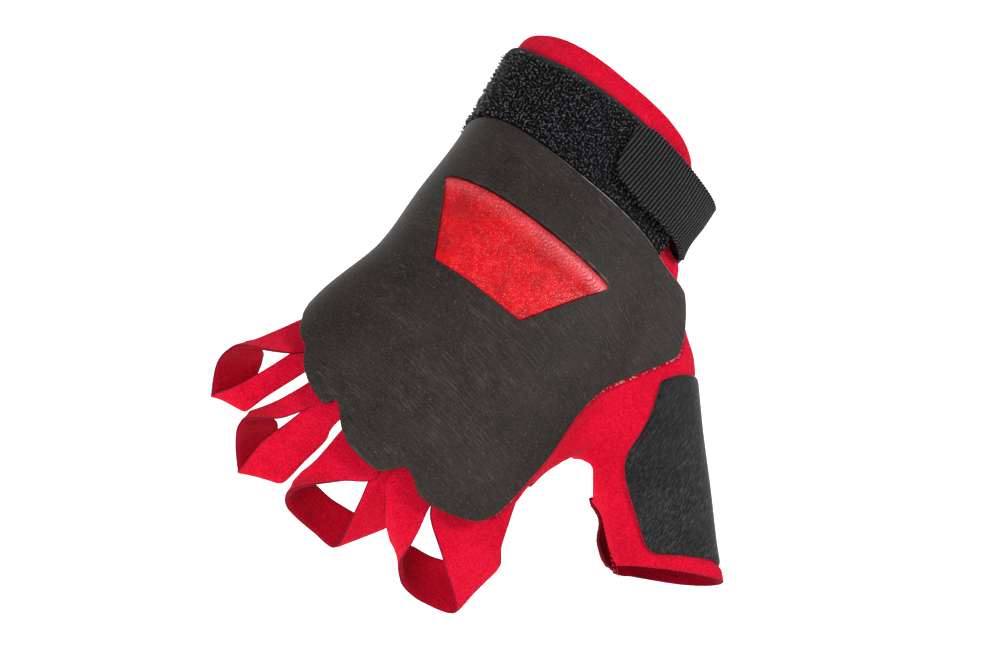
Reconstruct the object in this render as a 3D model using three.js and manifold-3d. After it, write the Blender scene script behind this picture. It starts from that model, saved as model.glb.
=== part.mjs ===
// A right-hand crack climbing glove, held in the form it has when it is worn.
//
// Millimetres, +Z up. The back of the hand faces +Z, the fingers point to -Y and the thumb to +X.
// The origin is the middle of the wrist hollow, at the wrist edge of the rubber panel.
//
// All flat pieces are layers over one smooth hand form. The form is a field: less than zero inside the
// hand and thumb, zero on the skin. Its skin is meshed once, and each layer is that mesh moved out along
// its normals, cut to the outline of the piece. The finger loops are ribbons between two edge curves.

import * as THREE from 'three';
import { mergeVertices } from 'three/addons/utils/BufferGeometryUtils.js';
import Module from 'manifold-3d';

const wasm = await Module();
wasm.setup();

// Driving dimensions

const CLEARANCE = 0.3;            // gap between touching pieces
const SUEDE_THICKNESS = 1.2;
const RUBBER_THICKNESS = 2.0;
const PATCH_THICKNESS = 1.5;
const LEATHER_THICKNESS = 1.0;
const TAPE_THICKNESS = 2.4;
const STRAP_THICKNESS = 1.8;
const LOOP_THICKNESS = 1.3;

const RUBBER_SEAT = SUEDE_THICKNESS + CLEARANCE;
const STRAP_SEAT_ON_TAPE = RUBBER_SEAT + TAPE_THICKNESS + CLEARANCE;
const LOOP_DEPTH = -(CLEARANCE + LOOP_THICKNESS / 2);   // middle of a loop end, under the suede

const SKIN_CELL = 6.4;            // size of the facets of the skin
const CURVE_STEPS = 2;            // straight steps for each span of a curved outline
const LOOP_STEPS = 2;             // steps between two rows of a finger loop
const SUEDE_INSET = 1.5;          // the rubber reaches past the suede at the knuckles by this much

// The hand without its thumb: superellipse sections square to Y, from the knuckles to the forearm.
// The last rows at both ends lie outside the glove and only carry the form on.
const HAND_SECTIONS = [
  { y: -125, centreX: 2, centreZ: -5, halfWidth: 39, rise: 15, drop: 15, power: 2.4 },
  { y: -95, centreX: 3.2, centreZ: -2, halfWidth: 40.5, rise: 17, drop: 16, power: 2.4 },
  { y: -75, centreX: 3.3, centreZ: 0, halfWidth: 40.6, rise: 19, drop: 18, power: 2.4 },
  { y: -50, centreX: 4.3, centreZ: 1, halfWidth: 37.6, rise: 21, drop: 20, power: 2.4 },
  { y: -25, centreX: 1, centreZ: 1, halfWidth: 36, rise: 22, drop: 21, power: 2.4 },
  { y: -5, centreX: 0, centreZ: 0, halfWidth: 36, rise: 22, drop: 22, power: 2.5 },
  { y: 8, centreX: -3, centreZ: 0, halfWidth: 34.5, rise: 23, drop: 23, power: 2.5 },
  { y: 20, centreX: -5.5, centreZ: 0, halfWidth: 34, rise: 24, drop: 24, power: 2.5 },
  { y: 33, centreX: -8.5, centreZ: 0, halfWidth: 33, rise: 24, drop: 25, power: 2.5 },
  { y: 45, centreX: -10.5, centreZ: 0, halfWidth: 32, rise: 24, drop: 25, power: 2.5 },
  { y: 60, centreX: -11.5, centreZ: 0, halfWidth: 31, rise: 24, drop: 25, power: 2.5 },
];

// The thumb: superellipse sections along an axis, at shares of its length from base to tip.
const THUMB_BASE = new THREE.Vector3(24, -4, -4);
const THUMB_TIP = new THREE.Vector3(93.5, -67.6, -14);
const THUMB_ROLL = THREE.MathUtils.degToRad(10);
const THUMB_POWER = 2.2;
const THUMB_SECTIONS = [
  { along: -0.3, halfWidth: 13, halfDepth: 12 },
  { along: 0, halfWidth: 16, halfDepth: 14 },
  { along: 0.25, halfWidth: 19, halfDepth: 14 },
  { along: 0.6, halfWidth: 16.7, halfDepth: 12.4 },
  { along: 1, halfWidth: 15.1, halfDepth: 9.8 },
  { along: 1.3, halfWidth: 14.9, halfDepth: 9.6 },
];

// How widely the thumb and the hand run together: little at the wrist, much in the web of the thumb.
const WEB_BLEND = { atWrist: 8, atWeb: 24, wristY: -8, webY: -45 };
const FORM_END = { knuckles: -132, forearm: 50, thumbBase: -0.25, thumbTip: 1.22 };

// Outlines in plan, seen from the back of the hand. A corner ends a smooth stretch.

const RUBBER_WRIST_EDGE = [
  { x: -62, y: 4, corner: true },
  { x: -36, y: 2.5 },
  { x: -14, y: 1 },
  { x: 14, y: 0.5 },
  { x: 34, y: 1 },
  { x: 44.8, y: 1.8, corner: true },
];
const RUBBER_THUMB_EDGE = [
  { x: 51, y: -5 },
  { x: 55.5, y: -16 },
  { x: 55, y: -21 },
  { x: 49.5, y: -32.5 },
  { x: 44.5, y: -45 },
  { x: 43, y: -58 },
  { x: 44, y: -72 },
  { x: 43.5, y: -86 },
  { x: 42.5, y: -97 },
];
// One lobe over each knuckle, index to little finger, with a notch between two of them.
const RUBBER_KNUCKLE_EDGE = [
  { x: 39, y: -104.5 },
  { x: 31, y: -109.3 },
  { x: 22, y: -111.3 },
  { x: 16.5, y: -108.5 },
  { x: 13, y: -107.8 },
  { x: 10.5, y: -110.5 },
  { x: 7, y: -113.6 },
  { x: -1, y: -113.6 },
  { x: -8, y: -111 },
  { x: -14, y: -105.3 },
  { x: -16, y: -105, corner: true },
  { x: -17.5, y: -107.7 },
  { x: -24, y: -105.4 },
  { x: -29.5, y: -101 },
  { x: -33, y: -95 },
  { x: -34, y: -94.8, corner: true },
  { x: -38, y: -91.5 },
  { x: -46, y: -84, corner: true },
  { x: -62, y: -82, corner: true },
];
const RUBBER_LOWEST = -4;         // the panel wraps round the little finger's side down to here

const WINDOW_CORNERS = [
  { x: -34, y: -23 },
  { x: 26, y: -23 },
  { x: 12, y: -52 },
  { x: -20, y: -52 },
];
const WINDOW_CORNER_RADIUS = 3;
const LEATHER_INSET = 0.5;        // the leather keeps this far inside the window

const PATCH_EDGE = [
  { x: 56.5, y: -28, corner: true },
  { x: 60.5, y: -21 },
  { x: 68, y: -11, corner: true },
  { x: 120, y: -47, corner: true },
  { x: 88.5, y: -68.8, corner: true },
  { x: 84, y: -71 },
  { x: 80.5, y: -69.5, corner: true },
  { x: 69.5, y: -61.2 },
  { x: 62, y: -54 },
  { x: 60.3, y: -46.5 },
  { x: 59.5, y: -38, corner: true },
];
const PATCH_LOWEST = -15;

const TAPE_EDGE = [
  { x: -62, y: 5.2, corner: true },
  { x: -36, y: 3.6 },
  { x: -14, y: 2.1 },
  { x: 14, y: 1.6 },
  { x: 33, y: 2, corner: true },
  { x: 25, y: 29, corner: true },
  { x: -33, y: 29, corner: true },
  { x: -62, y: 30.5, corner: true },
];
const TAPE_LOWEST = -5;

// The strap comes from the little finger's side, crosses the front of the wrist, turns round the
// thumb's side and ends on the tape.
const STRAP_EDGE = [
  { x: -62, y: 4.5, corner: true },
  { x: 36, y: 4.5, corner: true },
  { x: 41, y: 7, corner: true },
  { x: 62, y: 24, corner: true },
  { x: 62, y: 29.5, corner: true },
  { x: -62, y: 29.5, corner: true },
];
const STRAP_END_EDGE = [
  { x: 36, y: 2, corner: true },
  { x: 36, y: 4.5, corner: true },
  { x: 26, y: 6, corner: true },
  { x: 7.5, y: 7.4, corner: true },
  { x: 4, y: 10.6, corner: true },
  { x: 2, y: 25, corner: true },
  { x: 8, y: 28.4, corner: true },
  { x: 16, y: 28.4, corner: true },
  { x: 16, y: 32, corner: true },
  { x: -70, y: 32, corner: true },
  { x: -70, y: 2, corner: true },
];
const STRAP_START_Z = -7;         // height of the strap's first end, on the little finger's side
// Heights between which the strap comes down from the tape to the cuff, on the thumb's side of fromX.
const STRAP_STEP = { high: 3, low: -13, fromX: -20 };
// The stiff strap stands off the cuff where it turns round the thumb's side, most at its upper edge.
const STRAP_FLARE = {
  amount: 6, fromX: 8, toX: 20, fromY: 6, toY: 30, lowFrom: -24, lowTo: -3, highFrom: 5, highTo: 22,
};

// Cuts in the suede body.
const CUFF_END = { atLittleSide: 40.5, atThumbSide: 34.5 };
const PALM_CUT_EDGE = [
  { x: -70, y: 2, corner: true },
  { x: 38, y: 2, corner: true },
  { x: 47, y: -4 },
  { x: 52, y: -18 },
  { x: 48, y: -34 },
  { x: 42, y: -48 },
  { x: 44, y: -60 },
  { x: 50, y: -74, corner: true },
  { x: 50, y: -140, corner: true },
  { x: -70, y: -140, corner: true },
];
const PALM_CUT_TOP = [
  { y: 6, z: -6 },
  { y: -62, z: -6 },
  { y: -95, z: 4 },
  { y: -140, z: 8 },
];
const WEB_CUT_EDGE = [
  { x: 41, y: -99, corner: true },
  { x: 44, y: -87 },
  { x: 47.3, y: -75 },
  { x: 50.2, y: -67.5 },
  { x: 53.3, y: -62.7 },
  { x: 56.7, y: -61 },
  { x: 59.7, y: -62.8 },
  { x: 66, y: -68.5, corner: true },
  { x: 78, y: -84, corner: true },
  { x: 78, y: -140, corner: true },
  { x: 41, y: -140, corner: true },
];
const THUMB_OPENING = {
  point: new THREE.Vector3(93.4, -71, -4),
  normal: new THREE.Vector3(0.515, -0.857, -0.175),
};
const THUMB_SLIT_EDGE = [
  { x: 57, y: -68, corner: true },
  { x: 64, y: -60.5, corner: true },
  { x: 94, y: -78, corner: true },
  { x: 86, y: -92, corner: true },
];
const THUMB_SLIT = { low: -11, high: -9.4 };
const CUFF_SLIT_HALF_WIDTH = 3;
const CUT_REACH = 80;             // cutting bodies run this far past the glove

// Finger loops: the edge towards the wrist and the edge towards the fingertip, row by row, from the
// little finger's side of each finger, over its front, to the thumb's side. Rows with no heights lie
// flat under the suede.
const FINGER_LOOPS = {
  finger_loop_little: [
    { wristX: -35, wristY: -83, tipX: -29, tipY: -88 },
    { wristX: -37, wristY: -88.5, tipX: -31, tipY: -95.5 },
    { wristX: -43.5, wristY: -94, wristZ: 4.5, tipX: -35, tipY: -99.5, tipZ: 9 },
    { wristX: -47, wristY: -99, wristZ: -2, tipX: -43.5, tipY: -102.5, tipZ: 6 },
    { wristX: -48, wristY: -100.5, wristZ: -9, tipX: -50.5, tipY: -108.5, tipZ: 0 },
    { wristX: -43, wristY: -97, wristZ: -12, tipX: -50, tipY: -111.5, tipZ: -6 },
    { wristX: -39, wristY: -102, wristZ: -13, tipX: -46.5, tipY: -116.5, tipZ: -11 },
    { wristX: -35, wristY: -115.5, wristZ: -8, tipX: -45.5, tipY: -117, tipZ: -8 },
    { wristX: -32, wristY: -111, wristZ: 1, tipX: -39.5, tipY: -112, tipZ: 1 },
    { wristX: -26.5, wristY: -97, tipX: -31, tipY: -94.5 },
    { wristX: -25, wristY: -88, tipX: -30, tipY: -86 },
  ],
  finger_loop_ring: [
    { wristX: -24, wristY: -95, tipX: -17, tipY: -99 },
    { wristX: -25, wristY: -101.5, tipX: -18.5, tipY: -107 },
    { wristX: -28, wristY: -110, wristZ: 8, tipX: -23.5, tipY: -117, tipZ: 10 },
    { wristX: -32.5, wristY: -116.5, wristZ: 1, tipX: -30, tipY: -120.5, tipZ: 7 },
    { wristX: -31.5, wristY: -117.5, wristZ: -7, tipX: -34, tipY: -124, tipZ: 0 },
    { wristX: -26, wristY: -113, wristZ: -12, tipX: -30, tipY: -127, tipZ: -7 },
    { wristX: -19.5, wristY: -115.5, wristZ: -13, tipX: -26, tipY: -129.5, tipZ: -12 },
    { wristX: -12.5, wristY: -125, wristZ: -9, tipX: -25, tipY: -130.5, tipZ: -9 },
    { wristX: -11.5, wristY: -119.5, wristZ: 1, tipX: -23.5, tipY: -125, tipZ: 1 },
    { wristX: -12, wristY: -106, tipX: -20, tipY: -107 },
    { wristX: -12, wristY: -96, tipX: -19, tipY: -97 },
  ],
  finger_loop_middle: [
    { wristX: -8, wristY: -98, tipX: 5, tipY: -104 },
    { wristX: -9.5, wristY: -108.5, tipX: 6.5, tipY: -113.5 },
    { wristX: -9, wristY: -119.5, wristZ: 8, tipX: 1, tipY: -120.5, tipZ: 9.5 },
    { wristX: -10, wristY: -123.5, wristZ: 1, tipX: -5, tipY: -126.5, tipZ: 8 },
    { wristX: -9.5, wristY: -124, wristZ: -7, tipX: -9, tipY: -130.5, tipZ: 2 },
    { wristX: -6.5, wristY: -118, wristZ: -12, tipX: -7, tipY: -131.5, tipZ: -7 },
    { wristX: 3, wristY: -118, wristZ: -13, tipX: 3.5, tipY: -130, tipZ: -13 },
    { wristX: 19, wristY: -116.5, wristZ: -7, tipX: 11, tipY: -130, tipZ: -11 },
    { wristX: 15, wristY: -114.5, wristZ: 3, tipX: 9.5, tipY: -124, tipZ: 1 },
    { wristX: 12.8, wristY: -108, tipX: 5.5, tipY: -114 },
    { wristX: 11.5, wristY: -98, tipX: 4, tipY: -104 },
  ],
  finger_loop_index: [
    { wristX: 14, wristY: -98, tipX: 25, tipY: -100 },
    { wristX: 14, wristY: -108, tipX: 25.5, tipY: -110.5 },
    { wristX: 15, wristY: -117.5, wristZ: 8, tipX: 27.5, tipY: -117.5, tipZ: 9 },
    { wristX: 19.5, wristY: -120.5, wristZ: 2, tipX: 28, tipY: -123, tipZ: 6 },
    { wristX: 25, wristY: -119.5, wristZ: -7, tipX: 28.5, tipY: -125.5, tipZ: 0 },
    { wristX: 28, wristY: -114.5, wristZ: -12, tipX: 33, tipY: -127.5, tipZ: -8 },
    { wristX: 36, wristY: -111, wristZ: -13, tipX: 42, tipY: -125.5, tipZ: -13 },
    { wristX: 53, wristY: -105, wristZ: -6, tipX: 51, tipY: -122, tipZ: -10 },
    { wristX: 49.5, wristY: -101, wristZ: 3, tipX: 37, tipY: -116.5, tipZ: 2 },
    { wristX: 42, wristY: -91.5, tipX: 26, tipY: -111 },
    { wristX: 39, wristY: -84, tipX: 24.5, tipY: -100 },
  ],
};

// The hand form

// Reads one column of a table at a place between its rows, on a smooth curve through them.
function tableValue(table, keyName, columnName, key) {
  const last = table.length - 1;
  const at = THREE.MathUtils.clamp(key, table[0][keyName], table[last][keyName]);
  let row = 0;
  while (row < last - 1 && at > table[row + 1][keyName]) {
    row += 1;
  }
  const slope = (i) => {
    const before = table[Math.max(i - 1, 0)];
    const after = table[Math.min(i + 1, last)];
    return (after[columnName] - before[columnName]) / (after[keyName] - before[keyName]);
  };
  const span = table[row + 1][keyName] - table[row][keyName];
  const t = (at - table[row][keyName]) / span;
  const t2 = t * t;
  const t3 = t2 * t;
  return (2 * t3 - 3 * t2 + 1) * table[row][columnName]
    + (t3 - 2 * t2 + t) * span * slope(row)
    + (3 * t2 - 2 * t3) * table[row + 1][columnName]
    + (t3 - t2) * span * slope(row + 1);
}

// Distance from a superellipse, good close to its edge.
function superellipseDistance(u, v, halfU, halfV, power) {
  const a = Math.max(Math.abs(u) / halfU, 1e-6);
  const b = Math.max(Math.abs(v) / halfV, 1e-6);
  const size = (a ** power + b ** power) ** (1 / power);
  const slope = size ** (1 - power) * Math.hypot(a ** (power - 1) / halfU, b ** (power - 1) / halfV);
  return (size - 1) / slope;
}

function handDistance(p) {
  const at = (column) => tableValue(HAND_SECTIONS, 'y', column, p.y);
  const up = p.z - at('centreZ');
  const halfHeight = up >= 0 ? at('rise') : at('drop');
  const body = superellipseDistance(p.x - at('centreX'), up, at('halfWidth'), halfHeight, at('power'));
  return Math.max(body, FORM_END.knuckles - p.y, p.y - FORM_END.forearm);
}

const thumbAxis = THUMB_TIP.clone().sub(THUMB_BASE);
const thumbLength = thumbAxis.length();
thumbAxis.normalize();
const thumbSide = thumbAxis.clone().cross(new THREE.Vector3(0, 0, 1)).normalize();
const thumbBack = thumbSide.clone().cross(thumbAxis);
thumbSide.applyAxisAngle(thumbAxis, THUMB_ROLL);
thumbBack.applyAxisAngle(thumbAxis, THUMB_ROLL);

function thumbDistance(p) {
  const from = p.clone().sub(THUMB_BASE);
  const along = from.dot(thumbAxis) / thumbLength;
  const halfWidth = tableValue(THUMB_SECTIONS, 'along', 'halfWidth', along);
  const halfDepth = tableValue(THUMB_SECTIONS, 'along', 'halfDepth', along);
  const side = superellipseDistance(
    from.dot(thumbSide), from.dot(thumbBack), halfWidth, halfDepth, THUMB_POWER,
  );
  const ends = Math.max(FORM_END.thumbBase - along, along - FORM_END.thumbTip) * thumbLength;
  return Math.max(side, ends);
}

function smoothMinimum(a, b, blend) {
  const h = Math.max(blend - Math.abs(a - b), 0) / blend;
  return Math.min(a, b) - h * h * blend / 4;
}

function formDistance(p) {
  const towardsWeb = THREE.MathUtils.smoothstep(-p.y, -WEB_BLEND.wristY, -WEB_BLEND.webY);
  const blend = THREE.MathUtils.lerp(WEB_BLEND.atWrist, WEB_BLEND.atWeb, towardsWeb);
  return smoothMinimum(handDistance(p), thumbDistance(p), blend);
}

function formNormal(p) {
  const step = 0.05;
  const normal = new THREE.Vector3();
  for (const axis of ['x', 'y', 'z']) {
    const ahead = p.clone();
    const behind = p.clone();
    ahead[axis] += step;
    behind[axis] -= step;
    normal[axis] = (formDistance(ahead) - formDistance(behind)) / (2 * step);
  }
  return normal;
}

function pulledToSkin(p) {
  const point = p.clone();
  for (let pass = 0; pass < 8; pass += 1) {
    const normal = formNormal(point);
    point.addScaledVector(normal, -formDistance(point) / Math.max(normal.lengthSq(), 0.05));
  }
  return point;
}

// Meshes the skin of the form: one point for each cell that the skin crosses, one quad for each
// cell edge that it crosses.
function meshSkin(low, high, cell) {
  const count = high.clone().sub(low).divideScalar(cell).ceil();
  const [nx, ny, nz] = [count.x + 1, count.y + 1, count.z + 1];
  const index = (i, j, k) => i + nx * (j + ny * k);
  const place = (i, j, k) => new THREE.Vector3(i, j, k).multiplyScalar(cell).add(low);
  const values = new Float32Array(nx * ny * nz);
  for (let k = 0; k < nz; k += 1) {
    for (let j = 0; j < ny; j += 1) {
      for (let i = 0; i < nx; i += 1) {
        values[index(i, j, k)] = formDistance(place(i, j, k));
      }
    }
  }
  const steps = [[1, 0, 0], [0, 1, 0], [0, 0, 1]];
  const points = [];
  const pointOfCell = new Map();
  for (let k = 0; k < nz - 1; k += 1) {
    for (let j = 0; j < ny - 1; j += 1) {
      for (let i = 0; i < nx - 1; i += 1) {
        const sum = new THREE.Vector3();
        let crossings = 0;
        for (let corner = 0; corner < 8; corner += 1) {
          const a = [i + (corner & 1), j + ((corner >> 1) & 1), k + ((corner >> 2) & 1)];
          for (const [axis, step] of steps.entries()) {
            if ((corner >> axis) & 1) {
              continue;
            }
            const b = a.map((value, n) => value + step[n]);
            const va = values[index(...a)];
            const vb = values[index(...b)];
            if ((va < 0) === (vb < 0)) {
              continue;
            }
            sum.add(place(...a).lerp(place(...b), va / (va - vb)));
            crossings += 1;
          }
        }
        if (crossings === 0) {
          continue;
        }
        pointOfCell.set(index(i, j, k), points.length);
        points.push(pulledToSkin(sum.divideScalar(crossings)));
      }
    }
  }
  const triangles = [];
  for (let k = 1; k < nz - 1; k += 1) {
    for (let j = 1; j < ny - 1; j += 1) {
      for (let i = 1; i < nx - 1; i += 1) {
        for (const [axis, step] of steps.entries()) {
          const here = values[index(i, j, k)];
          const next = values[index(i + step[0], j + step[1], k + step[2])];
          if ((here < 0) === (next < 0)) {
            continue;
          }
          const p = steps[(axis + 1) % 3];
          const q = steps[(axis + 2) % 3];
          const around = [[0, 0], [1, 0], [1, 1], [0, 1]].map(([a, b]) => pointOfCell.get(
            index(i - a * p[0] - b * q[0], j - a * p[1] - b * q[1], k - a * p[2] - b * q[2]),
          ));
          if (here > next) {
            around.reverse();
          }
          triangles.push(around[0], around[1], around[2], around[0], around[2], around[3]);
        }
      }
    }
  }
  return { points, triangles };
}

const skin = meshSkin(new THREE.Vector3(-56, -142, -44), new THREE.Vector3(132, 58, 40), SKIN_CELL);
skin.normals = skin.points.map((point) => formNormal(point).normalize());

// Solids

function solidFrom(points, triangles) {
  const vertProperties = new Float32Array(points.flatMap((p) => [p.x, p.y, p.z]));
  const triVerts = new Uint32Array(triangles);
  return new wasm.Manifold(new wasm.Mesh({ numProp: 3, vertProperties, triVerts }));
}

function solidFromGeometry(geometry) {
  const bare = geometry.clone();
  bare.deleteAttribute('normal');
  bare.deleteAttribute('uv');
  const merged = mergeVertices(bare, 1e-4);
  const position = merged.getAttribute('position');
  const points = [];
  for (let i = 0; i < position.count; i += 1) {
    points.push(new THREE.Vector3().fromBufferAttribute(position, i));
  }
  return solidFrom(points, Array.from(merged.index.array));
}

// The space between two offsets from the skin. An offset is a number, or a function of the place.
function layer(innerOffset, outerOffset) {
  const moved = (offset) => solidFrom(skin.points.map((point, i) => {
    const distance = typeof offset === 'function' ? offset(point) : offset;
    return point.clone().addScaledVector(skin.normals[i], distance);
  }), skin.triangles);
  return moved(outerOffset).subtract(moved(innerOffset));
}

// Points of a closed outline: smooth between corners, straight where two corners meet.
function outlinePoints(edge) {
  const firstCorner = edge.findIndex((point) => point.corner);
  const ring = [...edge.slice(firstCorner), ...edge.slice(0, firstCorner)];
  const points = [];
  let run = [ring[0]];
  for (const point of [...ring.slice(1), ring[0]]) {
    run.push(point);
    if (!point.corner) {
      continue;
    }
    const curve = new THREE.SplineCurve(run.map((p) => new THREE.Vector2(p.x, p.y)));
    const steps = run.length === 2 ? 1 : (run.length - 1) * CURVE_STEPS;
    points.push(...curve.getPoints(steps).slice(0, -1));
    run = [point];
  }
  return points;
}

// A closed outline moved inwards by the same amount all round.
function insetPoints(points, amount) {
  const turn = THREE.ShapeUtils.area(points) > 0 ? 1 : -1;
  return points.map((point, i) => {
    const before = points[(i + points.length - 1) % points.length];
    const after = points[(i + 1) % points.length];
    const a = point.clone().sub(before).normalize();
    const b = after.clone().sub(point).normalize();
    const normal = new THREE.Vector2(-(a.y + b.y), a.x + b.x).normalize().multiplyScalar(turn);
    const spread = Math.max(normal.dot(new THREE.Vector2(-a.y, a.x)) * turn, 0.6);
    return point.clone().addScaledVector(normal, amount / spread);
  });
}

function roundedPolygon(corners, radius) {
  const points = [];
  corners.forEach((corner, i) => {
    const here = new THREE.Vector2(corner.x, corner.y);
    const before = corners[(i + corners.length - 1) % corners.length];
    const after = corners[(i + 1) % corners.length];
    const from = new THREE.Vector2(before.x, before.y).sub(here).normalize();
    const to = new THREE.Vector2(after.x, after.y).sub(here).normalize();
    const halfAngle = Math.acos(from.dot(to)) / 2;
    const back = radius / Math.tan(halfAngle);
    const curve = new THREE.QuadraticBezierCurve(
      here.clone().addScaledVector(from, back), here, here.clone().addScaledVector(to, back),
    );
    points.push(...curve.getPoints(CURVE_STEPS));
  });
  return points;
}

// An upright body over an outline in plan.
function uprightBody(points, low = -CUT_REACH, high = CUT_REACH) {
  const shape = new THREE.Shape(points);
  const geometry = new THREE.ExtrudeGeometry(shape, { depth: high - low, bevelEnabled: false });
  geometry.translate(0, 0, low);
  return solidFromGeometry(geometry);
}

// A body that runs across the hand, over an outline of points (y, z).
function crossBody(points) {
  const shape = new THREE.Shape(points.map((p) => new THREE.Vector2(p.y, p.z)));
  const geometry = new THREE.ExtrudeGeometry(shape, { depth: 3 * CUT_REACH, bevelEnabled: false });
  geometry.translate(0, 0, -1.5 * CUT_REACH);
  geometry.applyMatrix4(new THREE.Matrix4().makeBasis(
    new THREE.Vector3(0, 1, 0), new THREE.Vector3(0, 0, 1), new THREE.Vector3(1, 0, 0),
  ));
  return solidFromGeometry(geometry);
}

// Everything on the far side of a plane.
function halfSpace(point, normal) {
  const geometry = new THREE.BoxGeometry(3 * CUT_REACH, 3 * CUT_REACH, CUT_REACH);
  geometry.translate(0, 0, CUT_REACH / 2);
  geometry.applyQuaternion(new THREE.Quaternion().setFromUnitVectors(
    new THREE.Vector3(0, 0, 1), normal.clone().normalize(),
  ));
  geometry.translate(point.x, point.y, point.z);
  return solidFromGeometry(geometry);
}

function below(z) {
  return halfSpace(new THREE.Vector3(0, 0, z), new THREE.Vector3(0, 0, -1));
}

// Pieces

const rubberOutline = outlinePoints([...RUBBER_WRIST_EDGE, ...RUBBER_THUMB_EDGE, ...RUBBER_KNUCKLE_EDGE]);

function gloveBody() {
  const kept = insetPoints(rubberOutline, SUEDE_INSET).filter((p) => p.y < -80 && p.x < 41);
  const beyondKnuckles = [
    new THREE.Vector2(CUT_REACH, kept[0].y),
    ...kept,
    new THREE.Vector2(-CUT_REACH, kept[kept.length - 1].y),
    new THREE.Vector2(-CUT_REACH, -2 * CUT_REACH),
    new THREE.Vector2(CUT_REACH, -2 * CUT_REACH),
  ];
  const beyondCuff = [
    new THREE.Vector2(-CUT_REACH, CUFF_END.atLittleSide),
    new THREE.Vector2(CUT_REACH, CUFF_END.atThumbSide),
    new THREE.Vector2(CUT_REACH, CUT_REACH),
    new THREE.Vector2(-CUT_REACH, CUT_REACH),
  ];
  const palmDepth = [...PALM_CUT_TOP, { y: -140, z: -CUT_REACH }, { y: 6, z: -CUT_REACH }];
  const cuffSlit = [
    new THREE.Vector2(-CUFF_SLIT_HALF_WIDTH, 0),
    new THREE.Vector2(CUFF_SLIT_HALF_WIDTH, 0),
    new THREE.Vector2(CUFF_SLIT_HALF_WIDTH, CUT_REACH),
    new THREE.Vector2(-CUFF_SLIT_HALF_WIDTH, CUT_REACH),
  ];
  return layer(0, SUEDE_THICKNESS)
    .subtract(uprightBody(beyondCuff))
    .subtract(uprightBody(beyondKnuckles))
    .subtract(uprightBody(outlinePoints(PALM_CUT_EDGE)).intersect(crossBody(palmDepth)))
    .subtract(uprightBody(outlinePoints(WEB_CUT_EDGE)))
    .subtract(uprightBody(outlinePoints(THUMB_SLIT_EDGE), THUMB_SLIT.low, THUMB_SLIT.high))
    .subtract(halfSpace(THUMB_OPENING.point, THUMB_OPENING.normal))
    .subtract(uprightBody(cuffSlit, -CUT_REACH, 0));
}

function rubberBackPanel() {
  return layer(RUBBER_SEAT, RUBBER_SEAT + RUBBER_THICKNESS)
    .intersect(uprightBody(rubberOutline))
    .subtract(below(RUBBER_LOWEST))
    .subtract(uprightBody(roundedPolygon(WINDOW_CORNERS, WINDOW_CORNER_RADIUS), 0));
}

function windowLeather() {
  const outline = insetPoints(roundedPolygon(WINDOW_CORNERS, WINDOW_CORNER_RADIUS), LEATHER_INSET);
  return layer(RUBBER_SEAT, RUBBER_SEAT + LEATHER_THICKNESS).intersect(uprightBody(outline, 0));
}

function thumbRubberPatch() {
  return layer(RUBBER_SEAT, RUBBER_SEAT + PATCH_THICKNESS)
    .intersect(uprightBody(outlinePoints(PATCH_EDGE), PATCH_LOWEST));
}

function wristLoopTape() {
  return layer(RUBBER_SEAT, RUBBER_SEAT + TAPE_THICKNESS)
    .intersect(uprightBody(outlinePoints(TAPE_EDGE), TAPE_LOWEST));
}

function wristStrap() {
  const { smoothstep, lerp } = THREE.MathUtils;
  const seat = (point) => {
    if (point.x < STRAP_STEP.fromX) {
      return RUBBER_SEAT;
    }
    const onTape = smoothstep(point.z, STRAP_STEP.low, STRAP_STEP.high);
    const flare = STRAP_FLARE.amount
      * smoothstep(point.x, STRAP_FLARE.fromX, STRAP_FLARE.toX)
      * smoothstep(point.y, STRAP_FLARE.fromY, STRAP_FLARE.toY)
      * smoothstep(point.z, STRAP_FLARE.lowFrom, STRAP_FLARE.lowTo)
      * (1 - smoothstep(point.z, STRAP_FLARE.highFrom, STRAP_FLARE.highTo));
    return lerp(RUBBER_SEAT, STRAP_SEAT_ON_TAPE, onTape) + flare;
  };
  return layer(seat, (point) => seat(point) + STRAP_THICKNESS)
    .intersect(uprightBody(outlinePoints(STRAP_EDGE)))
    .subtract(uprightBody(outlinePoints(STRAP_END_EDGE), STRAP_START_Z));
}

// The suede and rubber over the knuckles with the clearance round them, which the loops keep out of.
const panelStack = layer(-CLEARANCE, RUBBER_SEAT + RUBBER_THICKNESS + CLEARANCE)
  .intersect(uprightBody(insetPoints(rubberOutline, -CLEARANCE)));

// The middle of a loop end that lies under the suede at this place in plan.
function underSuede(x, y) {
  const point = new THREE.Vector3(x, y, 0);
  let low = 0;
  let high = 40;
  for (let pass = 0; pass < 30; pass += 1) {
    point.z = (low + high) / 2;
    if (formDistance(point) < LOOP_DEPTH) {
      low = point.z;
    } else {
      high = point.z;
    }
  }
  return point;
}

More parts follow.
